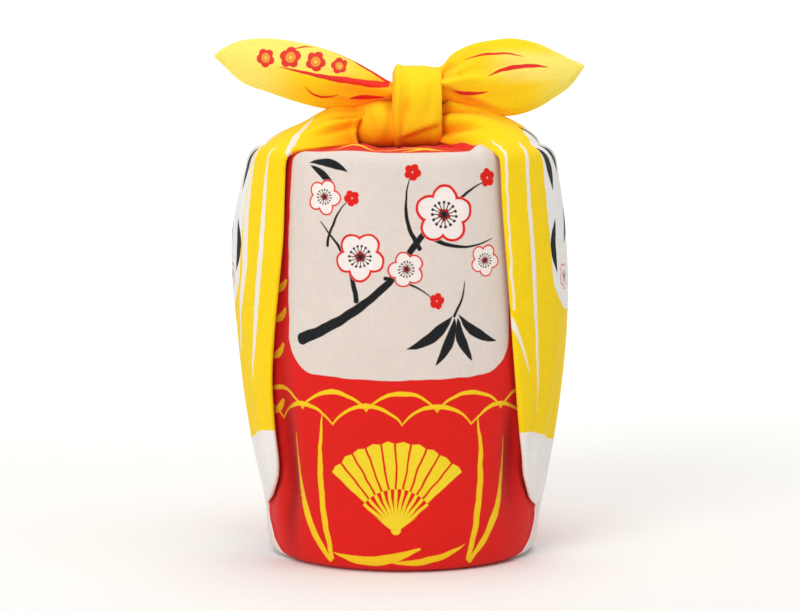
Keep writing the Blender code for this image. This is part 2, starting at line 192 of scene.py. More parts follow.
# Folds of the shoulders, each a line from rim to knot: where it starts and ends across the flap
# (0 front, 1 back) and along it (0 rim, 1 knot), half width across, depth inwards, and whether
# it is 1 soft, 2 crisp or 3 lipped.
Fold = namedtuple("Fold", "a0 s0 a1 s1 width depth sharp")
SHOULDER_FOLDS = {
    "left": rows_of(Fold, [
        (0.44, 0.3, 0.44, 0.86, 0.22, -3.2, 1),
        (0.44, 0.66, 0.44, 1.04, 0.22, 3.6, 1),
        (0.27, 0.55, 0.19, 1.05, 0.03, 2.6, 1),
        (0.07, 0.36, 0.11, 1.05, 0.035, 2, 1),
        (0.12, 0.2, 0.17, 1.00, 0.05, -1.2, 1),
        (0.2, 0.1, 0.24, 0.9, 0.06, 0.9, 1),
        (0.34, 0.25, 0.34, 1.1, 0.05, 1.3, 1),
        (0.46, 0.35, 0.46, 1.1, 0.04, 2, 2),
        (0.6, 0.3, 0.56, 1.1, 0.07, 1.5, 1),
        (0.74, 0.1, 0.7, 1.1, 0.06, 2, 2),
        (0.9, 0.2, 0.86, 1.1, 0.06, 1.6, 2),
    ]),
    "right": rows_of(Fold, [
        (0.17, 0.36, 0.035, 1.15, 0.026, 3.6, 1),
        (0.09, 0.3, 0.00, 1.05, 0.03, -1, 1),
        (0.26, 0.34, 0.115, 1.1, 0.04, -1.8, 1),
        (0.37, 0.5, 0.205, 1.12, 0.03, 3.6, 1),
        (0.45, 0.2, 0.29, 1.05, 0.05, -1.4, 1),
        (0.3, 0.05, 0.34, 0.6, 0.05, 1, 1),
        (0.64, 0.2, 0.6, 1.2, 0.07, 1.7, 1),
        (0.78, 0.3, 0.74, 1.2, 0.05, 2.4, 2),
        (0.91, 0.2, 0.87, 1.2, 0.06, 1.8, 2),
    ]),
}

# The knot: rings along X with their middle, half depth and half height.
Ring = namedtuple("Ring", "x y z half_depth half_height square")
LEFT_ROLL = rows_of(Ring, [
    (-28.6, 0, 212.4, 4, 4, 2),
    (-27.8, 0, 212.6, 7, 6.8, 2),
    (-26, 0, 212.9, 9.6, 9.2, 2.1),
    (-22.6, -0.2, 213.3, 12, 11, 2.2),
    (-16, -0.8, 213.8, 14.6, 12.1, 2.3),
    (-10, -1, 214.2, 15.4, 12.4, 2.3),
    (-3, -1, 214.2, 14.2, 12, 2.3),
    (4, -1, 214.4, 12.4, 11.4, 2.2),
])
BAND = rows_of(Ring, [
    (-4.6, -1, 222.2, 14.8, 17, 2.5),
    (-3.6, -1, 222.4, 17.2, 19.4, 2.6),
    (1, -1, 222.5, 18.2, 20.1, 2.6),
    (8, -1, 222.4, 18.5, 20.2, 2.6),
    (14, -1, 222.2, 18.2, 19.9, 2.6),
    (18.4, -1, 222, 17.8, 19.5, 2.6),
    (19.4, -1, 222, 17.2, 18.9, 2.5),
])
# Cloth bunched inside the band, seen at its two open ends.
CORE = rows_of(Ring, [
    (-4.9, -1, 222.2, 1.5, 1.5, 2),
    (-4.6, -1, 222.2, 7, 8, 2),
    (-3.6, -1, 222.3, 12, 14, 2.2),
    (-1.4, -1, 222.4, 15.4, 17.2, 2.5),
    (5, -1, 222.4, 16.4, 18.4, 2.6),
    (11, -1, 222.2, 16.4, 18.2, 2.6),
    (16, -1, 222, 15.6, 17.4, 2.5),
    (18.6, -1, 221.8, 12.4, 14, 2.2),
    (19.8, -1, 221.6, 7.4, 8.4, 2),
    (20.2, -1, 221.4, 1.5, 1.5, 2),
])
SLEEVE_TRIM = 2.2         # sleeves end this much further in than the roll round them
ROLL_ROWS = 26
BAND_ROWS = 30
CORE_ROWS = 26
CORE_COLUMNS = 48
CORE_PLEATS = 7
CORE_PLEAT_DEPTH = 2.4
RING_COLUMNS = 90
ROLL_EDGE = 3.0           # creases fade out over this much at a roll's edges
FRONT_FADE = 6.0          # and over this much towards its back
NO_HEM_X = 90.0           # edge of a roll without a hem, far out of sight
CORE_HOLD = 0.3           # its pleats are no deeper than this share of their distance out
CORE_TWIST = 1.3          # how unevenly the bunched cloth's pleats lie
CORE_SHADES = (0.45, 0.5)    # shade on the pleats' crests, and how much more between them

# The free ends, a row for each station from the knot to the tip: the lower and upper edge, the
# middle's place front to back, how far the upper and lower edges lean back from it, and half
# the thickness.
Station = namedtuple("Station", "x low high y top_back low_back half_thick")
LEFT_END = rows_of(Station, [
    (4, 224.5, 234, -3, 1, 1, 5),
    (-5, 223.5, 234.5, -6, 3, 3, 4.6),
    (-14, 222.5, 239.5, -9, 6, 5, 4),
    (-24, 221.8, 245, -11.5, 8.5, 6, 3.4),
    (-37, 221.2, 250.5, -13.5, 9.5, 6, 2.7),
    (-50.5, 224.2, 254, -14, 9, 5.5, 2.2),
    (-65, 229, 256, -13, 7.5, 4.5, 1.9),
    (-79, 234.2, 255.2, -10, 5, 3, 1.6),
    (-88, 242.2, 251.6, -6.5, 2.2, 1.4, 1.3),
    (-92.8, 246.6, 248.2, -4, 0.2, 0.2, 0.8),
])
RIGHT_END = rows_of(Station, [
    (10, 224.4, 241, -3, 1, 1, 5),
    (19.5, 223.8, 242.5, -6.5, 4, 3, 5.2),
    (25, 223.4, 248.4, -9, 6.5, 4, 4.4),
    (34, 222.4, 253, -11.5, 8.5, 4.5, 3.5),
    (44.5, 218.6, 255.2, -13, 8.5, 5, 2.8),
    (55, 217.9, 256, -13.5, 8, 5, 2.3),
    (66, 221.2, 253.9, -12.5, 6.5, 4, 2),
    (75.5, 226.8, 249.8, -10.5, 4.5, 3, 1.7),
    (83.5, 232.6, 245.8, -8, 2.2, 1.6, 1.4),
    (90, 241.6, 243.2, -6.5, 0.2, 0.2, 0.8),
])
END_ROWS = 56
END_POWER = 0.55          # below 1, a free end keeps its thickness further out to its edges
LEAN_POWER = 2.2          # how late towards its edges a free end leans back
THINNEST = 0.3            # a sleeve's half size where the free end has no room for more
# Sleeves of cloth inside the knot and the free ends: rows, columns, how far inside the skin.
INNER_LAYERS = [(14, 24, 1.1), (14, 24, 2.0), (14, 24, 2.9)]

# Creases seen from the front: a line between two places (x, z), how far its middle bows up,
# half width, depth inwards, and whether it is 1 soft, 2 crisp or 3 lipped.
Line = namedtuple("Line", "x0 z0 x1 z1 bow width depth sharp")
LEFT_END_LINES = rows_of(Line, [
    (-4, 232.6, -62, 243, 1.2, 4.5, -2.8, 3),
    (-4, 230.2, -52, 237.6, 0.6, 3.4, -1.6, 1),
    (-4, 227.6, -47.5, 232.6, 4, 3.6, 2.8, 3),
    (-6, 224.8, -34, 223.6, -0.6, 2, -1, 1),
    (-10, 237, -42, 249.5, 1.5, 3, 0.9, 1),
    (-40, 234, -86, 246, -2, 7, -0.8, 1),
    (-50, 252, -75, 246, 2, 4, 0.7, 1),
])
RIGHT_END_LINES = rows_of(Line, [
    (18, 234.2, 56, 218.8, -1, 4.4, -3.2, 3),
    (18, 234, 47, 238, 1.5, 4.4, 3.2, 3),
    (43, 237.2, 71, 241.9, 2.2, 3.8, 1.8, 3),
    (18, 234.6, 40, 248.2, 0.6, 3.8, 3.2, 3),
    (36, 247.4, 62, 246.6, 1.6, 3.4, 1.8, 3),
    (19, 236.6, 26, 244, 0.6, 1.6, 1.8, 2),
    (18, 234, 60, 231, 1, 5, -1.2, 1),
    (56, 234.8, 62, 237.4, -0.4, 1.2, 0.6, 2),
    (48, 252, 72, 240, 2, 4.5, 0.6, 1),
])
BAND_LINES = rows_of(Line, [
    (5, 238, -2, 208, 1, 3.4, 1.5, 1),
    (2, 222, -1.6, 204, 0.6, 1.8, 1.1, 2),
    (21, 214.6, -5, 204.6, -0.8, 3.8, 2, 3),
    (11, 241, 8, 216, 0.5, 3.4, -0.7, 1),
    (16, 232, 12, 214, 0.6, 2.6, 0.6, 1),
])
ROLL_LINES = rows_of(Line, [
    (-6, 222, -7.5, 203, 0.6, 1.6, 1, 1),
    (-12, 224, -10, 204, 1.2, 4, -1, 1),
    (-17, 218, -13.5, 204, 0.6, 2, 1, 1),
])
# Where light comes only from cloth to cloth: soft lines as above, their depth the shade at full.
LEFT_END_SHADE = rows_of(Line, [
    (-2, 228, -40, 231, -3, 4.5, 0.85, 1),
    (-2, 222, -26, 224, 0, 4.5, 0.8, 1),
    (-2, 236, -16, 237, 0, 5, 0.5, 1),
    (-30, 224, -70, 233, -1, 3, 0.25, 1),
    (-2, 227, -64, 233, 0, 7, 0.24, 1),
])
RIGHT_END_SHADE = rows_of(Line, [
    (17, 226, 44, 221, 0, 3.4, 0.55, 1),
    (17, 237, 30, 243.6, 0.8, 1.8, 0.6, 1),
    (17, 235, 36, 238.8, 1, 1.3, 0.5, 1),
    (17, 233.4, 42, 223.6, -0.8, 1.2, 0.5, 1),
    (44, 218, 74, 227, -2, 2.6, 0.3, 1),
    (17, 240, 52, 252, 2, 4.5, 0.26, 1),
    (20, 228, 78, 236, -2, 6, 0.2, 1),
])
BAND_SHADE = rows_of(Line, [
    (22, 207.4, -6, 200.6, 0, 5.6, 0.25, 1),
    (3, 226, -4.4, 204, 0.6, 2.6, 0.55, 1),
    (-4.6, 240, -4.6, 202, 0, 1.5, 0.6, 1),
])
ROLL_SHADE = rows_of(Line, [
    (-30, 204, 4, 203, 0, 9, 0.2, 1),
    (-30, 214, 4, 214, 0, 9, 0.25, 1),
    (-2, 228, -4, 198, 0, 3.4, 0.4, 1),
    (-20.5, 226, -26.5, 200, 0, 3.4, 0.6, 1),
])


def curve_through(places, values, at):
    """Values between those given at a row of places, on a smooth curve through them."""
    places = np.asarray(places, float)
    values = np.asarray(values, float)
    slopes = np.gradient(values, places, axis=0)
    at = np.clip(at, places.min(), places.max())
    cell = np.clip(np.searchsorted(places, at, side="right") - 1, 0, len(places) - 2)
    gap = places[cell + 1] - places[cell]
    part = (at - places[cell]) / gap
    if values.ndim > 1:
        gap, part = gap[:, None], part[:, None]
    rest = 1 - part
    return (values[cell] * rest * rest * (1 + 2 * part)
            + values[cell + 1] * part * part * (1 + 2 * rest)
            + slopes[cell] * gap * part * rest * rest
            - slopes[cell + 1] * gap * part * part * rest)


def eased(share):
    """A share from 0 to 1 that starts and stops softly."""
    return share * share * (3 - 2 * share)


def powered(value, power):
    """A value raised to a power, with its own sign: below 1 it makes a round form squarer."""
    return np.sign(value) * np.abs(value) ** power


def bump(offset):
    """A soft hump: 1 in the middle, 0 from -1 and 1 outwards."""
    return np.where(np.abs(offset) < 1, (1 + np.cos(np.pi * np.clip(offset, -1, 1))) / 2, 0.0)


SOFT, CRISP, LIPPED = 1, 2, 3
LIP_RUN = 0.9             # a lip turns from its low to its high side over this much
CRISP_SHARE = 0.75        # a crisp crease is this much narrower than a soft one


def ridge(distance, width, sharp):
    """Across a crease: a soft hump, a crisp one, or a lip that is sunk on the left of its way."""
    if sharp == LIPPED:
        return np.tanh(distance / LIP_RUN) * np.exp(-np.abs(distance) / width)
    if sharp == CRISP:
        return np.exp(-np.abs(distance) / (CRISP_SHARE * width))
    return np.exp(-(distance / width) ** 2)


def along_line(across, up, start, end, bow):
    """Places along (0 to 1) and beside a bowed line, for points of a surface."""
    run = np.subtract(end, start)
    length = math.hypot(*run)
    run = run / length
    off_x, off_z = across - start[0], up - start[1]
    part = (off_x * run[0] + off_z * run[1]) / length
    beside = off_z * run[0] - off_x * run[1]
    return part, beside - 4 * bow * part * (1 - part)


LINE_START = 8            # a crease is full where it starts, and fades before that over 1/8
LINE_END = 2.2            # and it fades towards its end over the last 1 / 2.2 of its way


def line_depth(across, up, lines):
    """How far the creases of a table move each point inwards, seen from the front."""
    depth = np.zeros(np.broadcast(across, up).shape)
    for line in lines:
        part, beside = along_line(across, up, (line.x0, line.z0), (line.x1, line.z1), line.bow)
        fade = eased(np.clip(np.minimum(part * LINE_START + 1, (1 - part) * LINE_END), 0, 1))
        depth += line.depth * fade * ridge(beside, line.width, line.sharp)
    return depth


class Outline:
    """The outer outline at one height, walked by length from the middle of the front."""

    def __init__(self, section):
        self.section = section
        self.shares = np.linspace(0, 1, OUTLINE_STEPS + 1)
        angle = 2 * np.pi * self.shares - np.pi / 2
        across, along = np.cos(angle), np.sin(angle)
        power = 2 / section.square
        reach = np.where(across > 0, section.right, section.left)
        self.x = powered(across, power) * reach
        self.y = powered(along, power) * section.depth
        steps = np.hypot(np.diff(self.x), np.diff(self.y))
        self.lengths = np.concatenate([[0], np.cumsum(steps)])
        self.round = self.lengths[-1]
        ahead = np.roll(self.x[:-1], -2) - np.roll(self.x[:-1], 2)
        aside = np.roll(self.y[:-1], -2) - np.roll(self.y[:-1], 2)
        size = np.hypot(ahead, aside)
        self.out_x = np.append(aside / size, aside[0] / size[0])
        self.out_y = np.append(-ahead / size, -ahead[0] / size[0])

    def length_at(self, x, back=False):
        """Length along the outline to the point of the front, or the back, that lies at x."""
        power = self.section.square / 2
        reach = self.section.right if x > 0 else self.section.left
        angle = math.acos(math.copysign(min(abs(x) / reach, 1.0) ** power, x))
        share = (angle if back else -angle) / math.tau + 0.25
        length = float(np.interp(share % 1.0, self.shares, self.lengths))
        return length - self.round if share < 0 else length

    def at(self, length, inset):
        """Points at lengths along the outline, set in square to it."""
        length = np.mod(length, self.round)
        inset = inset - SKIN
        x = np.interp(length, self.lengths, self.x)
        y = np.interp(length, self.lengths, self.y)
        return (x - np.interp(length, self.lengths, self.out_x) * inset,
                y - np.interp(length, self.lengths, self.out_y) * inset)


def lap_path():
    """The way through one lap, from panel to flap: share of the depth, cap, and layer."""
    layer_share = np.linspace(0, 1, LAYER_COLUMNS) ** LAYER_CROWDING
    turn = np.radians(CAP_TURNS)
    share = np.concatenate([layer_share, np.ones(len(turn)), layer_share[::-1],
                            np.zeros(len(turn) + 1)])
    cap = np.concatenate([np.zeros(LAYER_COLUMNS), np.sin(turn), np.zeros(LAYER_COLUMNS),
                          -np.sin(turn), [0.0]])
    layer = np.concatenate([np.full(LAYER_COLUMNS, 2.0), 1.5 + np.cos(turn) / 2,
                            np.full(LAYER_COLUMNS, 1.0), 0.5 + np.cos(turn) / 2, [0.0]])
    return share, cap, layer


LAP_SHARE, LAP_CAP, LAP_LAYER = lap_path()
LAP_COUNT = len(LAP_SHARE)
DEEP_FOLD = LAYER_COLUMNS + len(CAP_TURNS) // 2    # where panel cloth becomes flap cloth


def lap(edge, inward, section, kind):
    """The three layers of one lap, from the panel to the flap: lengths, set-ins, distances."""
    along = LAP_SHARE * section.tuck + LAP_CAP * PLEAT_CAP
    distance = np.clip(along, 0, None)
    ease = np.exp(-distance / LAYER_EASE)
    snug_middle, snug_inner = SNUG_LAYERS[kind]
    middle = snug_middle + (LAYER - snug_middle) * ease
    inner = snug_inner + (2 * LAYER - snug_inner) * ease
    depth = np.where(LAP_LAYER > 1, middle + (inner - middle) * (LAP_LAYER - 1),
                     middle * LAP_LAYER)
    way = np.linspace(0, 1, LAP_COUNT)
    faded_along = PLEAT_RUN * (2 * way - 1)
    faded_depth = 2 * LAYER * (1 - way)
    along = faded_along + (along - faded_along) * section.fold
    depth = faded_depth + (depth - faded_depth) * section.fold
    return edge + inward * along, depth * section.step


def creased(side, along, z):
    """How far the troughs and ridges move points of the wall inwards."""
    depth = np.zeros(len(along))
    for fold in CREASES:
        if fold.side == side:
            depth += (fold.depth * bump((along - fold.along) / fold.width)
                      * bump((z - fold.z) / fold.reach))
    return depth


def between(start, end, count, crowding):
    """Places between two lengths, ends left out, crowded to the start (or, below 0, the end)."""
    share = np.arange(1, count + 1) / (count + 1)
    share = share ** crowding if crowding > 0 else 1 - (1 - share) ** -crowding
    return start + (end - start) * share


# The stretches of one turn of the wall, with their columns, and the two laps beside each side.
STRETCHES = [("front_right", LAP_COUNT), ("right", FLAP_COLUMNS), ("back_right", LAP_COUNT),
             ("back", BACK_COLUMNS), ("back_left", LAP_COUNT), ("left", FLAP_COLUMNS),
             ("front_left", LAP_COUNT), ("front", PANEL_COLUMNS)]
SIDES = {"right": ("front_right", "back_right"), "back": ("back_right", "back_left"),
         "left": ("back_left", "front_left"), "front": ("front_left", "front_right")}
INWARD = {"front_right": 1, "back_right": -1, "back_left": 1, "front_left": -1}


def wall_ring(section):
    """One turn of the wall: lengths and set-ins, with where each lap lies in them."""
    outline = Outline(section)
    full = outline.round
    edges = {
        "front_right": outline.length_at(section.edge_right),
        "back_right": outline.length_at(section.edge_right + BACK_EDGE_SHIFT, back=True),
        "back_left": outline.length_at(section.edge_left + BACK_EDGE_SHIFT, back=True),
        "front_left": outline.length_at(section.edge_left) + full,
    }
    laps = {}
    for name, inward in INWARD.items():
        kind, side = name.split("_")
        wide = abs(edges["back_" + side] - edges["front_" + side])
        tuck = min(section.tuck, TUCK_SHARE * wide)
        length, inset = lap(edges[name], inward, section._replace(tuck=tuck), kind)
        laps[name] = (length, inset) if inward > 0 else (length[::-1], inset[::-1])

    spans, ends = {}, {}
    for side, (first, last) in SIDES.items():
        turn = full if side == "front" else 0
        spans[side] = edges[first], edges[last] + turn
        ends[side] = laps[first][0][-1], laps[last][0][0] + turn
    lengths, insets, troughs = [], [], []
    for name, count in STRETCHES:
        side = name.split("_")[-1]
        start, end = spans[side]
        middle = full if name == "front" else (start + end) / 2
        if name in laps:
            length, inset = laps[name]
            trough = creased(side, length - middle, section.z) * section.fold
        else:
            crowding = {"right": FLAP_CROWDING, "left": -FLAP_CROWDING}.get(name, 1.0)
            length = between(*ends[name], count, crowding)
            across = np.abs(2 * (length - start) / (end - start) - 1)
            inset = np.zeros(count)
            if name in ("front", "back"):
                inset += PANEL_INSET + (2 * LAYER - PANEL_INSET) * across ** PANEL_POWER
            inset = inset * section.step
            trough = creased(name, length - middle, section.z)
        lengths.append(length)
        insets.append(inset + trough * section.step)
        troughs.append(trough * (name == "front"))
    return (outline, np.concatenate(lengths), np.concatenate(insets), edges,
            np.concatenate(troughs))


# Column of the ring at which each stretch starts.
FIRST = {}
RING_COUNT = 0
for stretch, columns in STRETCHES:
    FIRST[stretch] = RING_COUNT
    RING_COUNT += columns
FLAP_SIDE = LAP_COUNT - DEEP_FOLD     # columns of a lap that belong to the flap
COLUMNS = {
    "right": np.arange(FIRST["front_right"] + DEEP_FOLD, FIRST["back_right"] + FLAP_SIDE),
    "back": np.arange(FIRST["back_right"] + FLAP_SIDE - 1, FIRST["back_left"] + DEEP_FOLD + 1),
    "left": np.arange(FIRST["back_left"] + DEEP_FOLD, FIRST["front_left"] + FLAP_SIDE),
    "front": np.arange(FIRST["front_left"] + FLAP_SIDE - 1,
                       RING_COUNT + DEEP_FOLD + 1) % RING_COUNT,
}
PANEL, FLAP, BACK, KNOT, WRONG = range(5)     # material slots of the cloth


class Cloth:
    """Collects grids of points into one mesh, with their places on the flat cloth.

    A place for the panels or flaps is how far across and up the cloth, and its side.  A hem place
    is the distance to the hemmed edge, the place along it, and the shade in the folds, 0 to 1.
    """

    def __init__(self):
        self.points, self.panel, self.flap, self.hem = [], [], [], []
        self.faces, self.slots = [], []
        self.count = 0

    def lay(self, grid, panel, flap, slots, closed=False, flip=False,
            hem=(FAR_FROM_HEM, 0.0, 0.0)):
        """Adds a grid (rows, columns, 3); the slot is one number or one for each column."""
        rows, columns = grid.shape[:2]
        first = self.count
        self.points.append(grid.reshape(-1, 3))
        self.panel.append(np.broadcast_to(panel, grid.shape).reshape(-1, 3))
        self.flap.append(np.broadcast_to(flap, grid.shape).reshape(-1, 3))
        self.hem.append(np.broadcast_to(hem, grid.shape).reshape(-1, 3))
        self.count += rows * columns
        wide = columns if closed else columns - 1
        column = np.arange(wide)
        after = (column + 1) % columns
        slots = np.broadcast_to(slots, (wide,))
        for row in range(rows - 1):
            low, high = first + row * columns, first + (row + 1) * columns
            quads = np.stack([low + column, low + after, high + after, high + column], axis=1)
            self.faces.append(quads[:, ::-1] if flip else quads)
            self.slots.append(slots)

    def mesh(self, name):
        data = bpy.data.meshes.new(name)
        points = np.concatenate(self.points) * MM
        faces = np.concatenate(self.faces)
        data.from_pydata(points.tolist(), [], faces.tolist())
        data.polygons.foreach_set("material_index", np.concatenate(self.slots).astype(np.int32))
        for label, places in (("panel_place", self.panel), ("flap_place", self.flap),
                              ("hem_place", self.hem)):
            layer = data.attributes.new(label, "FLOAT_VECTOR", "POINT")
            layer.data.foreach_set("vector", np.concatenate(places).astype(np.float32).ravel())
        return data


def grid_of(x, y, z):
    return np.stack(np.broadcast_arrays(x, y, z), axis=-1).astype(float)


def lay_wall(cloth):
    """Base and wall, ring by ring, and what the rim needs for the tongues."""
    top = WALL[-1].z
    heights = np.concatenate([LOW_ROWS, np.linspace(LOW_ROWS[-1], top,
                              round((top - LOW_ROWS[-1]) / ROW_STEP) + 1)[1:]])
    table = curve_through([row.z for row in WALL], WALL, heights)
    rows, places, hems, ring = [], [], [], None
    for height, values in zip(heights, table):
        section = Section(height, *values[1:])
        section = section._replace(fold=float(np.clip(section.fold, 0, 1)),
                                   step=float(np.clip(section.step, 0, 1)),
                                   tuck=max(section.tuck, 0.0))
        if height <= FOLDED_FROM:
            section = section._replace(fold=0.0)
        outline, length, inset, edges, troughs = ring = wall_ring(section)
        x, y = outline.at(length, inset)
        rows.append(grid_of(x, y, height))
        places.append(ring_places(outline, length, edges, height))
        # Painted shade in the front panel's troughs, carried as the third value of the hem place.
        hems.append(grid_of(FAR_FROM_HEM, 0.0, np.clip(troughs / TROUGH, 0, 1)))
    grid = np.stack(rows)
    panel = np.stack([place[0] for place in places])
    flap = np.stack([place[1] for place in places])
    slots = np.full(RING_COUNT, PANEL)
    for name, slot in (("right", FLAP), ("left", FLAP), ("back", BACK)):
        slots[COLUMNS[name][:-1]] = slot
    cloth.lay(grid, panel, flap, slots, closed=True, hem=np.stack(hems))

    base = grid[0]
    shrunk = np.array([1.0] + BASE_RINGS + [0.0])[:, None]
    discs = grid_of(base[:, 0] * shrunk, base[:, 1] * shrunk, BASE_Z)
    cloth.lay(discs[::-1], panel[0] - BASE_SHIFT, flap[0] - BASE_SHIFT, FLAP, closed=True)
    return ring, panel[-1], flap[-1]


def ring_places(outline, length, edges, height):
    """Places on the flat cloth of one ring: for the panels, and for the flaps."""
    full = outline.round
    steps = np.abs(np.diff(length, prepend=length[-1] - full))
    walked = np.cumsum(steps)
    front_middle = FIRST["front"] + PANEL_COLUMNS // 2
    across = walked - walked[front_middle] + length[front_middle] - full
    right_half = np.arange(RING_COUNT) < FIRST["back"] + BACK_COLUMNS // 2
    across = np.where(right_half, across + walked[-1], across)
    back = COLUMNS["back"]
    across[back] = walked[back] - walked[FIRST["back"] + BACK_COLUMNS // 2]
    edge_right = walked[FIRST["front_right"] + LAP_COUNT - 1]
    edge_left = walked[FIRST["front_left"]]
    side = np.where(right_half, 1.0, -1.0)
    distance = np.where(right_half, walked - edge_right, edge_left - walked)
    panel = grid_of(across, height, side)
    flap = grid_of(distance, height, side)
    return panel, flap


def turned(ring, columns, turn, lift, drawn=0.0):
    """Rows that carry a tongue from the wall over the rim, lifted and drawn in per column."""
    outline, length, inset = ring[:3]
    ways = np.linspace(0, len(turn) - 1, TURN_ROWS)
    profile = curve_through(range(len(turn)), turn, ways)
    rows = []
    for way, (more, z) in zip(ways, profile):
        part = way / (len(turn) - 1)
        x, y = outline.at(length[columns], inset[columns] + more + drawn * part ** DRAWN_POWER)
        rows.append(grid_of(x, y, z + lift * part))
    return np.stack(rows)


def walked_up(grid):
    """How far up the cloth each row lies past the rim, as a shift of its places."""
    steps = np.linalg.norm(np.diff(grid, axis=0), axis=2)
    shift = np.zeros((len(grid), 1, 3))
    shift[1:, 0, 1] = np.cumsum(steps[:, grid.shape[1] // 2])
    return shift


def crest(x, rises):
    return sum((rise.rise * bump((x - rise.x) / rise.width) for rise in rises), 0.0 * x)


def lay_tongue(cloth, ring, name, turn, point_y, narrowing, sag, panel, flap, slot, humps,
               rises=()):
    """The front or back tongue: over the rim, flat over the top, and back under itself."""
    columns = COLUMNS[name]
    outline, length, inset = ring[:3]
    over = turned(ring, columns, turn, crest(outline.at(length[columns], 0.0)[0], rises))
    start = over[-1]
    way = [(share, 0.0) for share in np.linspace(0, LYING_REACH, LYING_ROWS + 1)[1:]]
    rows = []
    for share, drop in way + UNDER:
        x = start[:, 0] * (1 - narrowing * share)
        y = start[:, 1] + (point_y - start[:, 1]) * share
        past = np.clip(0.5 + y * np.sign(point_y) / SAG_RUN, 0, 1)
        deep = sag[0] + (sag[1] - sag[0]) * eased(past)
        z = start[:, 2] - deep * min(1, SINKING * share) - drop
        for hump in humps:
            z = z + hump.rise * bump((x - hump.x) / hump.wide) * bump((y - hump.y) / hump.deep)
        rows.append(grid_of(x, y, z))
    grid = np.concatenate([over, np.stack(rows)])
    up = walked_up(grid)
    cloth.lay(grid, panel[columns] + up, flap[columns] + up, slot)


def gather_x(gather, z):
    """Where the end of a shoulder's gathers lies along X, at each height."""
    up = z - GATHER_MIDDLE_Z
    return gather.x + gather.lean * up + gather.curl * up * up


def arch(gather, share, inset):
    """The end of a shoulder where it enters the knot, at shares across it from the front."""
    turn = np.pi * np.clip(share, 0, 1)
    y = -(gather.half_depth - inset) * powered(np.cos(turn), GATHER_SQUARE)
    z = GATHER_EDGE_Z + (gather.top - GATHER_EDGE_Z - inset) * np.sin(turn) ** GATHER_SQUARE
    z = z - INNER_DROP * inset
    return gather_x(gather, z), y, z


FOLD_START = 1.6          # a shoulder's fold is full from 1 / 1.6 of its way


def fold_depth(across, share, folds):
    """How far the folds of a shoulder move its points inwards."""
    depth = np.zeros(len(across))
    for fold in folds:
        part = (share - fold.s0) / (fold.s1 - fold.s0)
        fade = eased(np.clip(part * FOLD_START, 0, 1))
        middle = fold.a0 + (fold.a1 - fold.a0) * part
        depth += fold.depth * fade * ridge(across - middle, fold.width, fold.sharp)
    return depth


def lay_shoulder(cloth, ring, side, panel, flap):
    """A side flap and its hidden layers, from the rim up into the knot."""
    outline, length, inset, edges, _ = ring
    columns = COLUMNS[side]
    gather = GATHERS[side]
    front, back = edges["front_" + side], edges["back_" + side]
    across = (length[columns] - front) / (back - front)
    lift = -EDGE_DROOP * bump(across / DROOP_SHARE) - inset[columns]
    over = turned(ring, columns, FLAP_TURN, lift, DRAWN_IN[side] * bump((across - 0.5) / 0.5))
    start = over[-1]
    end_x, end_y, end_z = arch(gather, across, inset[columns])
    out_x, out_y = outline.at(length[columns], inset[columns] - 1)
    in_x, in_y = outline.at(length[columns], inset[columns])
    outward = grid_of(out_x - in_x, out_y - in_y, LEAN_OUT)
    round_end = grid_of(0.0, -np.cos(np.pi * across), np.sin(np.pi * across))
    to_edge = np.minimum(np.abs(length[columns] - front), np.abs(length[columns] - back))
    hidden = np.clip(inset[columns] / HIDDEN_FROM, 0, 1) * (1 - np.exp(-to_edge / LAYER_EASE))
    rows = []
    shades = [0 * across] * len(over)
    for share in np.linspace(0, 1, GATHER_ROWS + 1)[1:]:
        point = grid_of(start[:, 0] + (end_x - start[:, 0]) * share,
                        start[:, 1] + (end_y - start[:, 1]) * share,
                        start[:, 2] + (end_z - start[:, 2]) * share ** gather.rise)
        away = outward * (1 - share) + round_end * share
        away /= np.linalg.norm(away, axis=1, keepdims=True)
        depth = fold_depth(across, share, SHOULDER_FOLDS[side])
        sunk = hidden * HIDDEN_SINK * min(1, HIDDEN_SINKING * share)
        rows.append(point - away * (depth + sunk)[:, None])
        shade, reach = KNOT_SHADE[side]
        shaded = depth * FOLD_SHADE * share + shade * np.exp(-(1 - share) / reach)
        shades.append(np.clip(shaded, 0, 1))
    last = rows[-1]
    middle = np.array([gather.x, 0.0, GATHER_EDGE_Z + HEART_RISE])
    if gather.run_in:
        for part in RUN_IN_STEPS:
            row = middle + (last - middle) * (1 - (1 - RUN_IN_SIZE) * part)
            row[:, 0] = last[:, 0] - gather.run_in * part
            rows.append(row)
    else:
        for along, size in LIP:
            row = middle + (last - middle) * size
            moved = gather_x(gather, row[:, 2]) - gather_x(gather, last[:, 2])
            row[:, 0] = last[:, 0] + along + moved
            rows.append(row)
    grid = np.concatenate([over, np.stack(rows)])
    shades += [0 * across + LIP_SHADE] * (len(grid) - len(shades))
    up = walked_up(grid)
    cloth.lay(grid, panel[columns] + up, flap[columns] + up, FLAP,
              hem=grid_of(FAR_FROM_HEM, 0.0, np.stack(shades)))


NOTHING = 1e-9            # keeps a length of nothing from being divided by


def swollen(grid, depth, closed=True):
    """A grid with each point moved inwards, square to its surface."""
    if closed:
        around = np.roll(grid, -1, axis=1) - np.roll(grid, 1, axis=1)
    else:
        around = np.gradient(grid, axis=1)
    along = np.gradient(grid, axis=0)
    out = np.cross(around, along)
    out /= np.linalg.norm(out, axis=2, keepdims=True) + NOTHING
    return grid - out * depth[..., None]


def turns(columns):
    """The angle of each column of a closed ring."""
    return 2 * np.pi * np.arange(columns) / columns


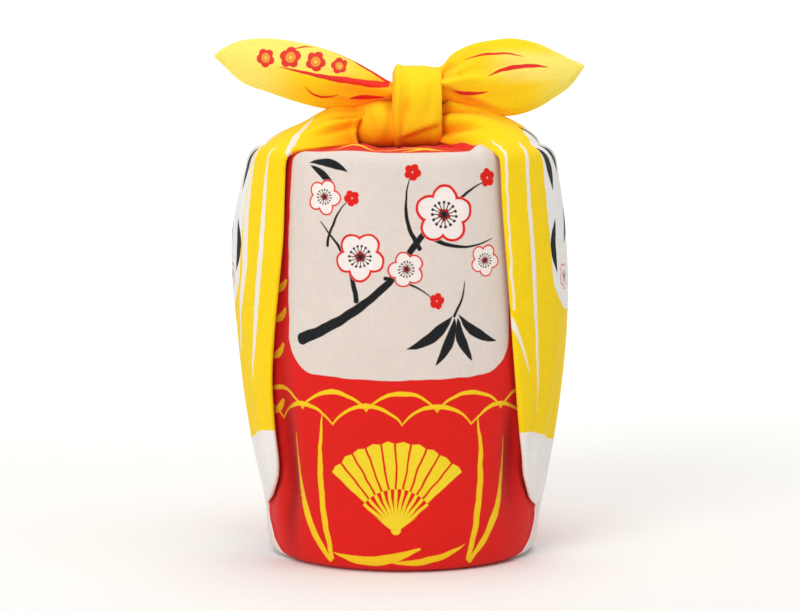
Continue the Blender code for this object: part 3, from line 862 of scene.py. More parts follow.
def ring_grid(rings, rows, columns, inset):
    """A smooth roll through a table of rings, a little smaller all round."""
    trim = SLEEVE_TRIM * (inset > 1)
    table = curve_through([ring.x for ring in rings], rings,
                          np.linspace(rings[0].x + trim, rings[-1].x - trim, rows))
    angle = turns(columns)
    return np.stack([grid_of(x, y + powered(np.cos(angle), 2 / square) * (half_depth - inset),
                             z + powered(np.sin(angle), 2 / square) * (half_height - inset))
                     for x, y, z, half_depth, half_height, square in table])


def front_only(grid):
    """1 on the part of a roll that faces the front, fading to 0 on its back."""
    return np.clip(-grid[..., 1] / FRONT_FADE, 0, 1)


def lay_knotted(cloth, grid, hem, flip=False):
    """Adds a closed piece of the knot, its print laid on as seen from the front."""
    place = grid[..., [0, 2, 1]]
    cloth.lay(grid, place, place, KNOT, closed=True, flip=flip, hem=hem)


def lay_roll(cloth, rings, rows, lines, shaded, hem_x):
    """A roll of cloth round the knot, with its creases and the sleeves inside it."""
    for rows, columns, inset in [(rows, RING_COLUMNS, CLOTH / 2)] + INNER_LAYERS:
        grid = ring_grid(rings, rows, columns, inset)
        depth = line_depth(grid[..., 0], grid[..., 2], lines) * front_only(grid)
        to_rim = np.minimum(grid[..., 0] - rings[0].x, rings[-1].x - grid[..., 0])
        grid = swollen(grid, depth * np.clip(to_rim / ROLL_EDGE, 0, 1))
        hem = grid_of(hem_x - grid[..., 0], grid[..., 2], line_shade(grid, shaded))
        lay_knotted(cloth, grid, hem)


def lay_core(cloth):
    """The bunched cloth inside the band, pleated all round."""
    grid = ring_grid(CORE, CORE_ROWS, CORE_COLUMNS, CLOTH / 2)
    angle = turns(CORE_COLUMNS)
    pleated = 0.5 - 0.5 * np.cos(CORE_PLEATS * angle + CORE_TWIST * np.sin(2 * angle))
    middle = grid.mean(axis=1, keepdims=True)
    far = np.linalg.norm(grid - middle, axis=2)
    depth = np.minimum(CORE_PLEAT_DEPTH * pleated, CORE_HOLD * far)
    grid = swollen(grid, depth)
    shade = np.broadcast_to(CORE_SHADES[0] + CORE_SHADES[1] * pleated, far.shape)
    lay_knotted(cloth, grid, grid_of(FAR_FROM_HEM, 0.0, shade))


def line_shade(grid, shaded):
    """Shade in the folds of the knot, 0 to 1, from a table of soft lines."""
    return np.clip(line_depth(grid[..., 0], grid[..., 2], shaded), 0, 1)


def end_grid(stations, rows, columns, inset):
    """A free end: two layers pressed together, leaning back above and below its middle."""
    table = curve_through(np.arange(len(stations)), stations,
                          np.linspace(0, len(stations) - 1, rows))
    angle = turns(columns)
    grid = []
    for x, low, high, y, top_back, low_back, half_thick in table:
        up = np.sin(angle)
        across = powered(np.cos(angle), END_POWER)
        half = max((high - low) / 2 - inset, THINNEST)
        lean = np.where(up > 0, top_back, low_back) * np.abs(up) ** LEAN_POWER
        grid.append(grid_of(x, y + lean + across * max(half_thick - inset, THINNEST),
                            (low + high) / 2 + half * up))
    return np.stack(grid)


def lay_end(cloth, stations, lines, shaded, flip):
    """A free end with its creases, and the sleeves of cloth folded inside it."""
    for rows, columns, inset in [(END_ROWS, RING_COLUMNS, CLOTH / 2)] + INNER_LAYERS:
        grid = end_grid(stations, rows, columns, inset)
        depth = line_depth(grid[..., 0], grid[..., 2], lines)
        grid[..., 1] += depth
        low, high = grid[..., 2].min(axis=1), grid[..., 2].max(axis=1)
        to_edge = np.minimum(grid[..., 2] - low[:, None], high[:, None] - grid[..., 2])
        hem = grid_of(to_edge, grid[..., 0], line_shade(grid, shaded))
        lay_knotted(cloth, grid, hem, flip)


def fold_cloth():
    """The whole sheet as one mesh."""
    cloth = Cloth()
    ring, panel, flap = lay_wall(cloth)
    lay_tongue(cloth, ring, "front", FRONT_TURN, FRONT_POINT_Y, FRONT_NARROWING, FRONT_SAG,
               panel, flap, PANEL, HUMPS, CREST)
    lay_tongue(cloth, ring, "back", BACK_TURN, BACK_POINT_Y, BACK_NARROWING, BACK_SAG,
               panel, flap, BACK, BACK_HUMPS)
    for side in ("left", "right"):
        lay_shoulder(cloth, ring, side, panel, flap)
    lay_roll(cloth, LEFT_ROLL, ROLL_ROWS, ROLL_LINES, ROLL_SHADE, NO_HEM_X)
    lay_roll(cloth, BAND, BAND_ROWS, BAND_LINES, BAND_SHADE, BAND[-1].x)
    lay_core(cloth)
    lay_end(cloth, LEFT_END, LEFT_END_LINES, LEFT_END_SHADE, flip=True)
    lay_end(cloth, RIGHT_END, RIGHT_END_LINES, RIGHT_END_SHADE, flip=False)
    return cloth.mesh("furoshiki_cloth_sheet")


def placed(name, data):
    """An object with the data, in the scene."""
    made = bpy.data.objects.new(name, data)
    bpy.context.scene.collection.objects.link(made)
    return made


def hex_colour(code):
    """A colour in sRGB hex as linear light."""
    parts = [int(code[k:k + 2], 16) / 255 for k in (1, 3, 5)]
    return tuple(p / 12.92 if p <= 0.04045 else ((p + 0.055) / 1.055) ** 2.4
                 for p in parts) + (1.0,)


def add_node(tree, kind, feeds=(), operation=None, **settings):
    """Adds a node with its settings, and links or sets its inputs (by order or by name)."""
    made = tree.nodes.new("ShaderNode" + kind)
    if operation:
        made.operation = operation
    for name, value in settings.items():
        setattr(made, name, value)
    for key, value in feeds.items() if isinstance(feeds, dict) else enumerate(feeds):
        if value is None:
            continue
        if isinstance(value, bpy.types.Node):
            value = value.outputs[0]
        if isinstance(value, bpy.types.NodeSocket):
            tree.links.new(value, made.inputs[key])
        else:
            made.inputs[key].default_value = value
    return made


BLEED = 0.4               # width in which printed ink fades out at its edge
FLAT = (1.0, 1.0, 0.0)    # a place times this leaves out its side
SOFT_STEP = {"interpolation_type": "SMOOTHSTEP"}


def new_group(name, inputs, outputs):
    tree = bpy.data.node_groups.new(name, "ShaderNodeTree")
    for label, kind in inputs:
        tree.interface.new_socket(label, in_out="INPUT", socket_type="NodeSocket" + kind)
    for label in outputs:
        tree.interface.new_socket(label, in_out="OUTPUT", socket_type="NodeSocketFloat")
    return tree, tree.nodes.new("NodeGroupInput"), tree.nodes.new("NodeGroupOutput")


def length_of(add, x, y):
    """How far an offset reaches."""
    both = add("CombineXYZ", [x, y])
    return add("VectorMath", [both], "LENGTH").outputs["Value"]


def inked(add, depth):
    """Ink where a depth in millimetres is above 0."""
    return add("Math", [depth, 1 / BLEED, 0.5], "MULTIPLY_ADD", use_clamp=True)


def brush_stroke():
    """Ink of one brush stroke: a bowed line that swells or tapers, round at its ends."""
    tree, given, result = new_group("brush_stroke", [
        ("Place", "Vector"), ("Start", "Vector"), ("End", "Vector"), ("Bow", "Float"),
        ("Start Width", "Float"), ("Middle Width", "Float"), ("End Width", "Float")], ["Ink"])
    place, start, end, bow, first, middle, last = given.outputs[:7]
    add = partial(add_node, tree)
    flat = add("VectorMath", [place, FLAT], "MULTIPLY")
    run = add("VectorMath", [end, start], "SUBTRACT")
    length = add("VectorMath", [run], "LENGTH").outputs["Value"]
    way = add("VectorMath", [run], "NORMALIZE")
    off = add("VectorMath", [flat, start], "SUBTRACT")
    along = add("VectorMath", [off, way], "DOT_PRODUCT").outputs["Value"]
    turned_off = add("VectorMath", [way, off], "CROSS_PRODUCT")
    beside = add("SeparateXYZ", [turned_off]).outputs["Z"]
    part = add("Math", [along, length], "DIVIDE")
    inside = add("Clamp", [part])
    rest = add("Math", [1.0, inside], "SUBTRACT")
    hump = add("Math", [inside, rest], "MULTIPLY")
    hump = add("Math", [hump, 4.0], "MULTIPLY")
    bowed = add("Math", [bow, hump], "MULTIPLY")
    beside = add("Math", [beside, bowed], "SUBTRACT")
    past = add("Math", [part, inside], "SUBTRACT")
    past = add("Math", [past, length], "MULTIPLY")
    distance = length_of(add, beside, past)
    taper = add("Mix", [inside, None, first, last], data_type="FLOAT")
    mean = add("Math", [first, last], "ADD")
    mean = add("Math", [mean, 0.5], "MULTIPLY")
    swell = add("Math", [middle, mean], "SUBTRACT")
    swell = add("Math", [swell, hump], "MULTIPLY")
    width = add("Math", [taper, swell], "ADD")
    width = add("Math", [width, 0.5], "MULTIPLY")
    ink = add("Math", [width, distance], "SUBTRACT")
    tree.links.new(inked(add, ink).outputs[0], result.inputs["Ink"])
    return tree


PETALS = 5
PETAL_OUT = 0.53          # a petal's middle and radius, as shares of the blossom's radius
PETAL_ROUND = 0.45
RIM_HALF = 0.045          # half width of the petals' outline, and the stamens' measures, likewise
STAMEN_OUT = 0.40
STAMEN_DOT = 0.05
THREAD_HALF = 0.018
THREAD_END = 0.36
HEART = 0.10


def plum_blossom():
    """Ink of one plum blossom: its round petals, their outline, and the stamens."""
    tree, given, result = new_group("plum_blossom", [
        ("Place", "Vector"), ("Middle", "Vector"), ("Size", "Float"), ("Turn", "Float")],
        ["Petals", "Outline", "Stamens"])
    place, middle, size, turn = given.outputs[:4]
    add = partial(add_node, tree)
    flat = add("VectorMath", [place, FLAT], "MULTIPLY")
    off = add("VectorMath", [flat, middle], "SUBTRACT")
    split = add("SeparateXYZ", [off])
    angle = add("Math", [split.outputs["Y"], split.outputs["X"]], "ARCTAN2")
    angle = add("Math", [angle, turn], "ADD")
    out = add("VectorMath", [off], "LENGTH").outputs["Value"]
    out = add("Math", [out, size], "DIVIDE")

    def spoke(count, reach):
        """How far a point lies from the nearest of the points set evenly round at a reach."""
        fold = add("Math", [angle, math.pi / count], "PINGPONG")
        x = add("Math", [fold], "COSINE")
        x = add("Math", [x, out, -reach], "MULTIPLY_ADD")
        y = add("Math", [fold], "SINE")
        y = add("Math", [y, out], "MULTIPLY")
        return length_of(add, x, y), y

    def ink_of(depth):
        """Ink where a depth, a share of the blossom's radius, is above 0."""
        return inked(add, add("Math", [depth, size], "MULTIPLY")).outputs[0]

    petal, _ = spoke(PETALS, PETAL_OUT)
    petal = add("Math", [PETAL_ROUND, petal], "SUBTRACT")
    tree.links.new(ink_of(petal), result.inputs["Petals"])
    rim = add("Math", [petal, RIM_HALF], "SUBTRACT")
    rim = add("Math", [rim], "ABSOLUTE")
    rim = add("Math", [RIM_HALF, rim], "SUBTRACT")
    tree.links.new(ink_of(rim), result.inputs["Outline"])

    dot, beside = spoke(3 * PETALS, STAMEN_OUT)
    dot = add("Math", [STAMEN_DOT, dot], "SUBTRACT")
    thread = add("Math", [THREAD_HALF, beside], "SUBTRACT")
    short = add("Math", [THREAD_END, out], "SUBTRACT")
    thread = add("Math", [thread, short], "MINIMUM")
    heart = add("Math", [HEART, out], "SUBTRACT")
    stamens = add("Math", [dot, thread], "MAXIMUM")
    stamens = add("Math", [stamens, heart], "MAXIMUM")
    tree.links.new(ink_of(stamens), result.inputs["Stamens"])
    return tree


WOBBLE_SCALE = 0.11       # how often, to the millimetre, a printed edge wavers
WOBBLE = 1.6              # and how far
EAR_FROM, EAR_FULL = 0.55, 0.75    # where a field's ear rises, as shares of its half width


class Print:
    """The printed colour of one material, built up ink by ink over the place on the cloth."""

    def __init__(self, name, place, ground):
        self.material = bpy.data.materials.new(name)
        self.material.use_nodes = True
        self.tree = self.material.node_tree
        self.shader = self.tree.nodes["Principled BSDF"]
        self.add = partial(add_node, self.tree)
        given = self.add("Attribute", attribute_name=place)
        self.given = given.outputs["Vector"]
        wobble = self.add("TexNoise", {"Vector": self.given, "Scale": WOBBLE_SCALE, "Detail": 1.0})
        shift = self.add("VectorMath", [wobble.outputs["Color"], (0.5, 0.5, 0.5)], "SUBTRACT")
        shift = self.add("VectorMath", {0: shift, "Scale": WOBBLE}, "SCALE")
        self.place = self.add("VectorMath", [self.given, shift], "ADD").outputs[0]
        split = self.add("SeparateXYZ", [self.place])
        self.across, self.up = split.outputs["X"], split.outputs["Y"]
        self.colour = hex_colour(ground)

    def lay_ink(self, ink, code):
        """Prints one colour where its ink is 1."""
        mixed = self.add("Mix", {0: ink, 6: self.colour, 7: hex_colour(code)}, data_type="RGBA")
        self.colour = mixed.outputs[2]

    def joined(self, inks):
        """One ink that has all of several."""
        whole = inks[0]
        for ink in inks[1:]:
            whole = self.add("Math", [whole, ink], "MAXIMUM")
        return whole

    def within(self, ink, other):
        return self.add("Math", [ink, other], "MULTIPLY")

    def strokes(self, table, place=None):
        """The ink of a table of brush strokes."""
        whole = None
        for row in table:
            ink = self.add(
                "Group", [place or self.place, (row.x0, row.y0, 0), (row.x1, row.y1, 0),
                          row.bow, row.start, row.middle, row.end],
                node_tree=bpy.data.node_groups["brush_stroke"])
            whole = self.joined([whole, ink]) if whole else ink
        return whole

    def blossoms(self, table, place=None):
        """The inks of a table of blossoms: petals, outlines and stamens."""
        made = [self.add("Group", [place or self.place, (row.x, row.y, 0), row.size, row.turn],
                         node_tree=bpy.data.node_groups["plum_blossom"]) for row in table]
        return [self.joined([flower.outputs[part] for flower in made]) for part in range(3)]

    def round_field(self, middle, half, corner_low, corner_high, bow, ear=0.0):
        """How deep a point lies in a field: round corners, bowed below, one ear at the right."""
        add = self.add
        x = add("Math", [self.across, middle[0]], "SUBTRACT")
        x = add("Math", [x], "ABSOLUTE")
        raised = add("MapRange", {"Value": self.across, 1: middle[0] + EAR_FROM * half[0],
                                  2: middle[0] + EAR_FULL * half[0], 3: 0.0, 4: ear},
                     **SOFT_STEP)
        y = add("Math", [self.up, middle[1]], "SUBTRACT")
        high = add("Math", [y, 0.0], "GREATER_THAN")
        raised = add("Math", [raised, high], "MULTIPLY")
        y = add("Math", [y, raised], "SUBTRACT")
        corner = add("Mix", [high, None, corner_low, corner_high], data_type="FLOAT")
        share = add("Math", [x, half[0]], "DIVIDE")
        share = add("Math", [share, share], "MULTIPLY")
        drop = add("Math", [share, bow, half[1] - bow], "MULTIPLY_ADD")
        tall = add("Math", [half[1], drop], "SUBTRACT")
        low = add("Math", [1.0, high], "SUBTRACT")
        tall = add("Math", [tall, low], "MULTIPLY")
        y = add("Math", [y], "ABSOLUTE")
        y = add("Math", [y, half[1]], "SUBTRACT")
        y = add("Math", [y, tall], "SUBTRACT")
        y = add("Math", [y, corner], "ADD")
        x = add("Math", [x, half[0]], "SUBTRACT")
        x = add("Math", [x, corner], "ADD")
        out_x = add("Math", [x, 0.0], "MAXIMUM")
        out_y = add("Math", [y, 0.0], "MAXIMUM")
        return add("Math", [corner, length_of(add, out_x, out_y)], "SUBTRACT")


# Plain-woven cotton.  The real threads lie about 0.45 mm apart; the weave is drawn this coarse
# so that it shows from a step away.
THREAD_PITCH = 1.15
WEAVE_HEIGHT = 0.00012    # metres
SLUB_SCALE = 1.1          # thicker stretches of thread, to the millimetre
SLUB_STRETCH = 0.12       # they are this much thinner than long
FOLD_REACH = 0.012        # how near cloth has to be to shade other cloth, in metres
HEM_IN = 2.5              # the hem's stitches lie this far in from the edge
STITCH_PITCH = 3.0
STITCH_SHARE = 0.34       # half length of a stitch, as a share of the pitch
STITCH_HALF = 0.32        # half width of a stitch
STITCH_DEPTH = 2.2        # of the weave's height
STITCH_DARKER = 0.05
OPEN, CLOSED = 0.75, 0.1  # open sky, as a share, where the folds' shade begins and is deepest
DEEPEST = 0.66            # how much of the painted shade tint such a place takes
SLUB_HEIGHT = 0.35        # heights of the slubs and of the grain against the threads'
GRAIN_HEIGHT = 0.8
GRAIN_SCALE = 1.4         # fibres, to the millimetre
CLOUD_SCALE = 0.03        # uneven dye, to the millimetre
SLUB_TONE, CLOUD_TONE, GRAIN_TONE = 0.03, 0.02, 0.025    # how much they lighten and darken


def hem_stitch(paint, hem):
    """A row of short stitches along a hemmed edge, from the distance to it and along it."""
    add = paint.add
    off = add("Math", [hem.outputs["X"], HEM_IN], "SUBTRACT")
    off = add("Math", [off], "ABSOLUTE")
    off = add("Math", [STITCH_HALF, off], "SUBTRACT")
    along = add("Math", [hem.outputs["Y"], STITCH_PITCH / 2], "PINGPONG")
    along = add("Math", [STITCH_PITCH * STITCH_SHARE, along], "SUBTRACT")
    both = add("Math", [off, along], "MINIMUM")
    return inked(add, both)


def finish_cotton(paint, shade_tint):
    """Weave, grain and soft sheen of plain-woven cotton under a print.

    The shade tint is what the colour is multiplied by deep in the folds: painted shade, warmer
    and darker, where the light comes from cloth to cloth.
    """
    add = paint.add
    hem = add("SeparateXYZ", [add("Attribute", attribute_name="hem_place").outputs["Vector"]])
    # Painted shade: where other cloth closes a place in, and where the mesh carries shade, the
    # colour is multiplied towards the shade tint.
    open_sky = add("AmbientOcclusion", {"Distance": FOLD_REACH}, only_local=True, samples=8)
    deep = add("MapRange", {"Value": open_sky.outputs["AO"], 1: OPEN, 2: CLOSED,
                            3: 0.0, 4: DEEPEST})
    deep = add("Math", [deep, hem.outputs["Z"]], "ADD", use_clamp=True)
    shaded = add("Mix", {0: deep, 6: paint.colour, 7: (*shade_tint, 1.0)},
                 data_type="RGBA", blend_type="MULTIPLY")
    split = add("SeparateXYZ", [paint.given])
    waves = []
    for label in ("X", "Y"):
        wave = add("Math", [split.outputs[label], math.pi / THREAD_PITCH], "MULTIPLY")
        waves.append(add("Math", [wave], "SINE"))
    over = add("Math", waves, "MULTIPLY")
    slubs = []
    for stretch in ((SLUB_STRETCH, 1.0, 0.5), (1.0, SLUB_STRETCH, 0.5)):
        longer = add("VectorMath", [paint.given, stretch], "MULTIPLY")
        slubs.append(add("TexNoise", {"Vector": longer, "Scale": SLUB_SCALE, "Detail": 3.0}))
    slub = add("Math", slubs, "ADD")
    grain = add("TexNoise", {"Vector": paint.given, "Scale": GRAIN_SCALE, "Detail": 2.0})
    height = add("Math", [over, SLUB_HEIGHT, slub], "MULTIPLY_ADD")
    height = add("Math", [grain, GRAIN_HEIGHT, height], "MULTIPLY_ADD")
    stitch = hem_stitch(paint, hem)
    height = add("Math", [stitch, -STITCH_DEPTH, height], "MULTIPLY_ADD")
    bump_node = add("Bump", {"Strength": 0.5, "Distance": WEAVE_HEIGHT, "Height": height})
    faded = add("TexNoise", {"Vector": paint.given, "Scale": CLOUD_SCALE, "Detail": 3.0})
    # Each noise with the values that it mostly lies between.
    changes = ((slub, 0.7, 1.3, SLUB_TONE), (faded, 0.3, 0.7, CLOUD_TONE),
               (grain, 0.3, 0.7, GRAIN_TONE))
    tones = [add("MapRange", {"Value": source, 1: low, 2: high, 3: 1 - tone, 4: 1 + tone})
             for source, low, high, tone in changes]
    value = add("Math", tones[:2], "MULTIPLY")
    value = add("Math", [value, tones[2]], "MULTIPLY")
    value = add("Math", [stitch, -STITCH_DARKER, value], "MULTIPLY_ADD")
    varied = add("HueSaturation", {"Color": shaded.outputs[2], "Value": value})
    paint.tree.links.new(varied.outputs[0], paint.shader.inputs["Base Color"])
    paint.tree.links.new(bump_node.outputs[0], paint.shader.inputs["Normal"])
    paint.shader.inputs["Roughness"].default_value = 0.86
    paint.shader.inputs["Specular IOR Level"].default_value = 0.2
    paint.shader.inputs["Sheen Weight"].default_value = 0.08
    paint.shader.inputs["Sheen Roughness"].default_value = 0.45
    return paint.material


# Inks and grounds in sRGB; the pale yellow is painted highlight.  The shade tints are what red and
# yellow are multiplied by in deep folds, as painted shade.
RED = "#DF1D16"
YELLOW = "#FCD60E"
# The knot's yellow ground is a touch paler than the flaps': painted highlight.
KNOT_YELLOW = "#FCD818"
PAINTED_HIGHLIGHT_YELLOW = "#FEEB7C"
STROKE_YELLOW = "#F6CB1C"
FAN_YELLOW = "#F3D62A"
STAMEN_YELLOW = "#F7DE4A"
KNOT_STROKE_RED = "#DB2A22"
KNOT_BLOSSOM_RED = "#E23A30"
CREAM_INK = "#E1D4CB"
PETAL_WHITE = "#F4E9E3"
STRIPE_WHITE = "#F1EADF"
WHITE = "#F1EDEA"
BLACK = "#1B1D1F"
UNPRINTED = "#EBC9A0"
BOARD_WHITE = "#F4F3F1"
YELLOW_SHADE_TINT = (1.15, 0.68, 0.3)
RED_SHADE_TINT = (0.58, 0.34, 0.45)

# Brush strokes of the print: from and to (across, up the cloth), how far the middle bows to
# the left of the way, and the widths at the start, middle and end.
Stroke = namedtuple("Stroke", "x0 y0 x1 y1 bow start middle end")
# Blossoms: middle, radius, and turn in radians.
Blossom = namedtuple("Blossom", "x y size turn")

# In the cream field: a plum branch with its twigs, its blossoms and buds, and loose leaves.
BRANCH = rows_of(Stroke, [
    (-50, 112, 4, 152, -5, 6, 4.2, 3),
    (2, 151, 40, 187, 4, 3.2, 2.2, 0.6),
    (-22, 131, -40, 168, -4, 2.8, 1.8, 0.5),
    (-36, 157, -26, 178, 2, 1.4, 1.2, 0.4),
    (8, 156, 4, 190, 4, 2.4, 1.6, 0.5),
    (14, 161, 45, 160, -4, 2.2, 1.4, 0.4),
    (-8, 142, 14, 132, 2, 2, 1.2, 0.4),
])
BLOSSOMS = rows_of(Blossom, [
    (-20, 152, 12.5, 0.3), (20, 172, 14.5, 1),
    (2, 146, 9, 0.6), (-38, 180, 9, 0.1),
    (41, 150, 8, 1.4),
])
BUDS = rows_of(Blossom, [
    (5, 192, 4.2, 0.2), (43, 189, 4.6, 0.8),
    (-24, 179.5, 4, 0.5), (16.5, 131, 4, 1.2),
])
LEAVES = rows_of(Stroke, [
    (24, 124, 2, 108, 2.5, 0.2, 5.4, 0.2),
    (25, 123, 16, 100, 2, 0.2, 5, 0.2),
    (26.5, 123, 34, 102, -1.5, 0.2, 4.8, 0.2),
    (27, 124.5, 48, 111, -2.5, 0.2, 4.6, 0.2),
    (25, 124, 30, 140, -1, 1.4, 1, 0.4),
    (-47, 196, -26, 192, 2, 0.2, 4, 0.2),
    (-46, 194.5, -32, 184.5, 1, 0.2, 3.4, 0.2),
])
# On the red ground: two blades of grass a side, dabs beside the left flap, and water below the
# fan; then arcs at the rim.
GRASS = rows_of(Stroke, [
    (-36, 5, -56, 66, 7, 2.4, 3.6, 0.3),
    (-35, 6, -39, 77, 4, 2.2, 3.2, 0.3),
    (34, 5, 54, 64, -7, 2.4, 3.6, 0.3),
    (33, 6, 37, 76, -4, 2.2, 3.2, 0.3),
])
# A dab about its middle, and the middles of four.
DAB = Stroke(-3.3, -3, 3.2, 2.6, -0.6, 2, 3.4, 2.4)
DABS = [DAB._replace(x0=x + DAB.x0, y0=y + DAB.y0, x1=x + DAB.x1, y1=y + DAB.y1)
        for x, y in ((-65.2, 136.5), (-66.0, 122.5), (-68.2, 105.0), (-70.6, 77.5))]
WATER = rows_of(Stroke, [
    (-34, 9, 8, 12, -4.5, 0.3, 4.6, 1.2),
    (-6, 5.5, 31, 13, -3, 0.3, 3.2, 0.3),
])
TOP_ARCS = rows_of(Stroke, [
    (-40, 208, -12, 210, 15, 1, 4.6, 1),
    (-4, 210, 27, 208, 13, 1, 4.4, 1),
    (-16, 214, 18, 216, 14, 0.8, 4, 0.8),
])

# The folding fan on the red ground.
FAN_PIVOT = (-3.0, 21.0)
FAN_LEAF = (20.0, 43.0)   # inner and outer radius of the fan's painted leaf
FAN_SPREAD = math.radians(50.0)
FAN_PANELS = 5            # pleats of the leaf on each side of the middle rib
FAN_EDGE = (12.0, 1.2)    # rise of the leaf's edge across a pleat, to its angle, and set-in
FAN_GAP = 0.5             # half width of the gap between two pleats
FAN_RIB = 0.75            # half width of a rib
FAN_GUARD = 1.2           # how far the ribs spread past the leaf
FAN_RIVET = 2.4           # radius of the rivet
# The wave arcs above the fan: height of the crests, and shift across.
SCALLOP_ROWS = [(87.0, 0.0), (80.5, 17.0)]
SCALLOP_PITCH = 34.0
SCALLOP_ROUND = 21.0      # radius of an arc
CREST_HALF, FOOT_HALF = 1.15, 0.35    # half width of the line at an arc's crest and ends


def scallops(paint):
    """Two rows of wave arcs that cross each other."""
    add = paint.add
    inks = []
    for height, shift in SCALLOP_ROWS:
        x = add("Math", [paint.across, shift], "ADD")
        x = add("Math", [x, SCALLOP_PITCH / 2], "PINGPONG")
        y = add("Math", [paint.up, height - SCALLOP_ROUND], "SUBTRACT")
        off = add("Math", [length_of(add, x, y), SCALLOP_ROUND], "SUBTRACT")
        off = add("Math", [off], "ABSOLUTE")
        width = add("MapRange", {"Value": x, 1: 0.0, 2: SCALLOP_PITCH / 2,
                                 3: CREST_HALF, 4: FOOT_HALF})
        above = add("Math", [paint.up, height - SCALLOP_ROUND], "SUBTRACT")
        line = add("Math", [width, off], "SUBTRACT")
        line = add("Math", [line, above], "MINIMUM")
        inks.append(inked(add, line))
    return paint.joined(inks)


def folding_fan(paint):
    """An open folding fan: a pleated leaf on thin ribs."""
    add = paint.add
    off = add("VectorMath", [paint.place, (*FAN_PIVOT, 0.0)], "SUBTRACT")
    off = add("VectorMath", [off, FLAT], "MULTIPLY")
    split = add("SeparateXYZ", [off])
    angle = add("Math", [split.outputs["X"], split.outputs["Y"]], "ARCTAN2")
    out = add("VectorMath", [off], "LENGTH").outputs["Value"]
    step = FAN_SPREAD / FAN_PANELS
    ribbed = add("Math", [angle, step / 2], "PINGPONG")
    beside = add("Math", [ribbed, out], "MULTIPLY")
    open_to = add("Math", [angle], "ABSOLUTE")
    open_to = add("Math", [FAN_SPREAD, open_to], "SUBTRACT")
    inside = add("Math", [open_to, out], "MULTIPLY")
    wavy = add("Math", [ribbed, FAN_EDGE[0], FAN_LEAF[1] - FAN_EDGE[1]], "MULTIPLY_ADD")
    outer = add("Math", [wavy, out], "SUBTRACT")
    inner = add("Math", [out, FAN_LEAF[0]], "SUBTRACT")
    crease = add("Math", [beside, FAN_GAP], "SUBTRACT")
    leaf = add("Math", [outer, inner], "MINIMUM")
    leaf = add("Math", [leaf, inside], "MINIMUM")
    leaf = add("Math", [leaf, crease], "MINIMUM")
    rib = add("Math", [FAN_RIB, beside], "SUBTRACT")
    short = add("Math", [FAN_LEAF[0], out], "SUBTRACT")
    rib = add("Math", [rib, short], "MINIMUM")
    ribs_in = add("Math", [inside, FAN_GUARD], "ADD")
    rib = add("Math", [rib, ribs_in], "MINIMUM")
    rivet = add("Math", [FAN_RIVET, out], "SUBTRACT")
    whole = add("Math", [leaf, rib], "MAXIMUM")
    whole = add("Math", [whole, rivet], "MAXIMUM")
    return inked(add, whole)


# The cream field of the front: middle, half size, lower and upper corners, how far its lower
# edge bows, and how far its right corner stands up.
CREAM = (-1.6, 150.2), (57.4, 53.1), 16.0, 6.5, 4.0, 3.4
SIDE_FIELD = (66.0, 172.0), (39.0, 47.0), 16.0, 16.0, 3.0    # the same of the flaps' white fields


def red_ground(name, strokes):
    """Red cotton with yellow wave arcs, brush strokes and a folding fan."""
    paint = Print(name, "panel_place", RED)
    paint.lay_ink(scallops(paint), STROKE_YELLOW)
    paint.lay_ink(paint.strokes(strokes), STROKE_YELLOW)
    paint.lay_ink(folding_fan(paint), FAN_YELLOW)
    return paint


def panel_cotton():
    """Front panel, printed plain-woven cotton: a matt, even red with painted shade in its folds.

    It has yellow motifs, and a cream field with a plum branch.
    """
    paint = red_ground("panel_printed_cotton", GRASS + WATER + TOP_ARCS + DABS)
    field = inked(paint.add, paint.round_field(*CREAM))
    paint.lay_ink(field, CREAM_INK)
    branch = paint.strokes(BRANCH + LEAVES)
    paint.lay_ink(paint.within(branch, field), BLACK)
    petals, outline, stamens = paint.blossoms(BLOSSOMS)
    paint.lay_ink(paint.within(petals, field), PETAL_WHITE)
    paint.lay_ink(paint.within(outline, field), RED)
    paint.lay_ink(paint.within(stamens, field), BLACK)
    buds, _, _ = paint.blossoms(BUDS)
    paint.lay_ink(paint.within(buds, field), RED)
    return finish_cotton(paint, RED_SHADE_TINT)


# On the side flaps: white stripes, dark leaves and blossoms.
LEFT_STRIPES = rows_of(Stroke, [
    (-2, 202, 38, 237, 8, 1.6, 4.4, 1),
    (9.8, 206, 11, 112, 0, 0.6, 3, 2.6),
    (11, 112, 12.6, 90, 0.3, 2.6, 1.8, 0.3),
    (24, 203, 22.4, 145, 1.2, 2, 4, 4),
    (22.4, 145, 30.4, 100, -0.6, 4, 3, 0.4),
])
RIGHT_STRIPES = rows_of(Stroke, [
    (7, 225, 0.4, 190, -1.6, 0.3, 1.8, 1.3),
    (0.4, 190, -0.6, 126, 0, 1.3, 1, 1),
    (17.5, 211, 13.4, 190, -0.8, 0.8, 2.2, 2.4),
    (13.4, 190, 12.6, 130, 0.5, 2.4, 2.6, 2.2),
    (12.6, 130, 11.4, 74, 0.2, 2.2, 1.6, 0.3),
    (-4.4, 126, 5.6, 95, 1, 2.4, 1.8, 0.3),
])
SIDE_LEAVES = rows_of(Stroke, [
    (27, 204, 35, 182, 2.5, 0.4, 6, 0.3),
    (36, 207, 47, 190, 2, 0.3, 6, 0.3),
    (41, 222, 43, 208, 1, 0.3, 4, 0.3),
    (52, 212, 62, 186, -3, 0.3, 6.5, 0.3),
    (34, 168, 31, 142, -3, 0.3, 5, 0.3),
    (60, 182, 44, 156, 3, 0.3, 6, 0.3),
    (62, 182, 60, 150, 1, 0.3, 6, 0.3),
    (64, 182, 80, 158, -3, 0.3, 6, 0.3),
    (63, 180, 76, 213, -3, 1.6, 1.4, 0.6),
])
SIDE_BLOSSOMS = rows_of(Blossom, [(40, 140, 7, 0.3), (84, 190, 9, 0.9),
                                  (72, 138, 8, 0.1)])
AWAY = 1000.0             # shift that takes one flap's stripes off the other flap
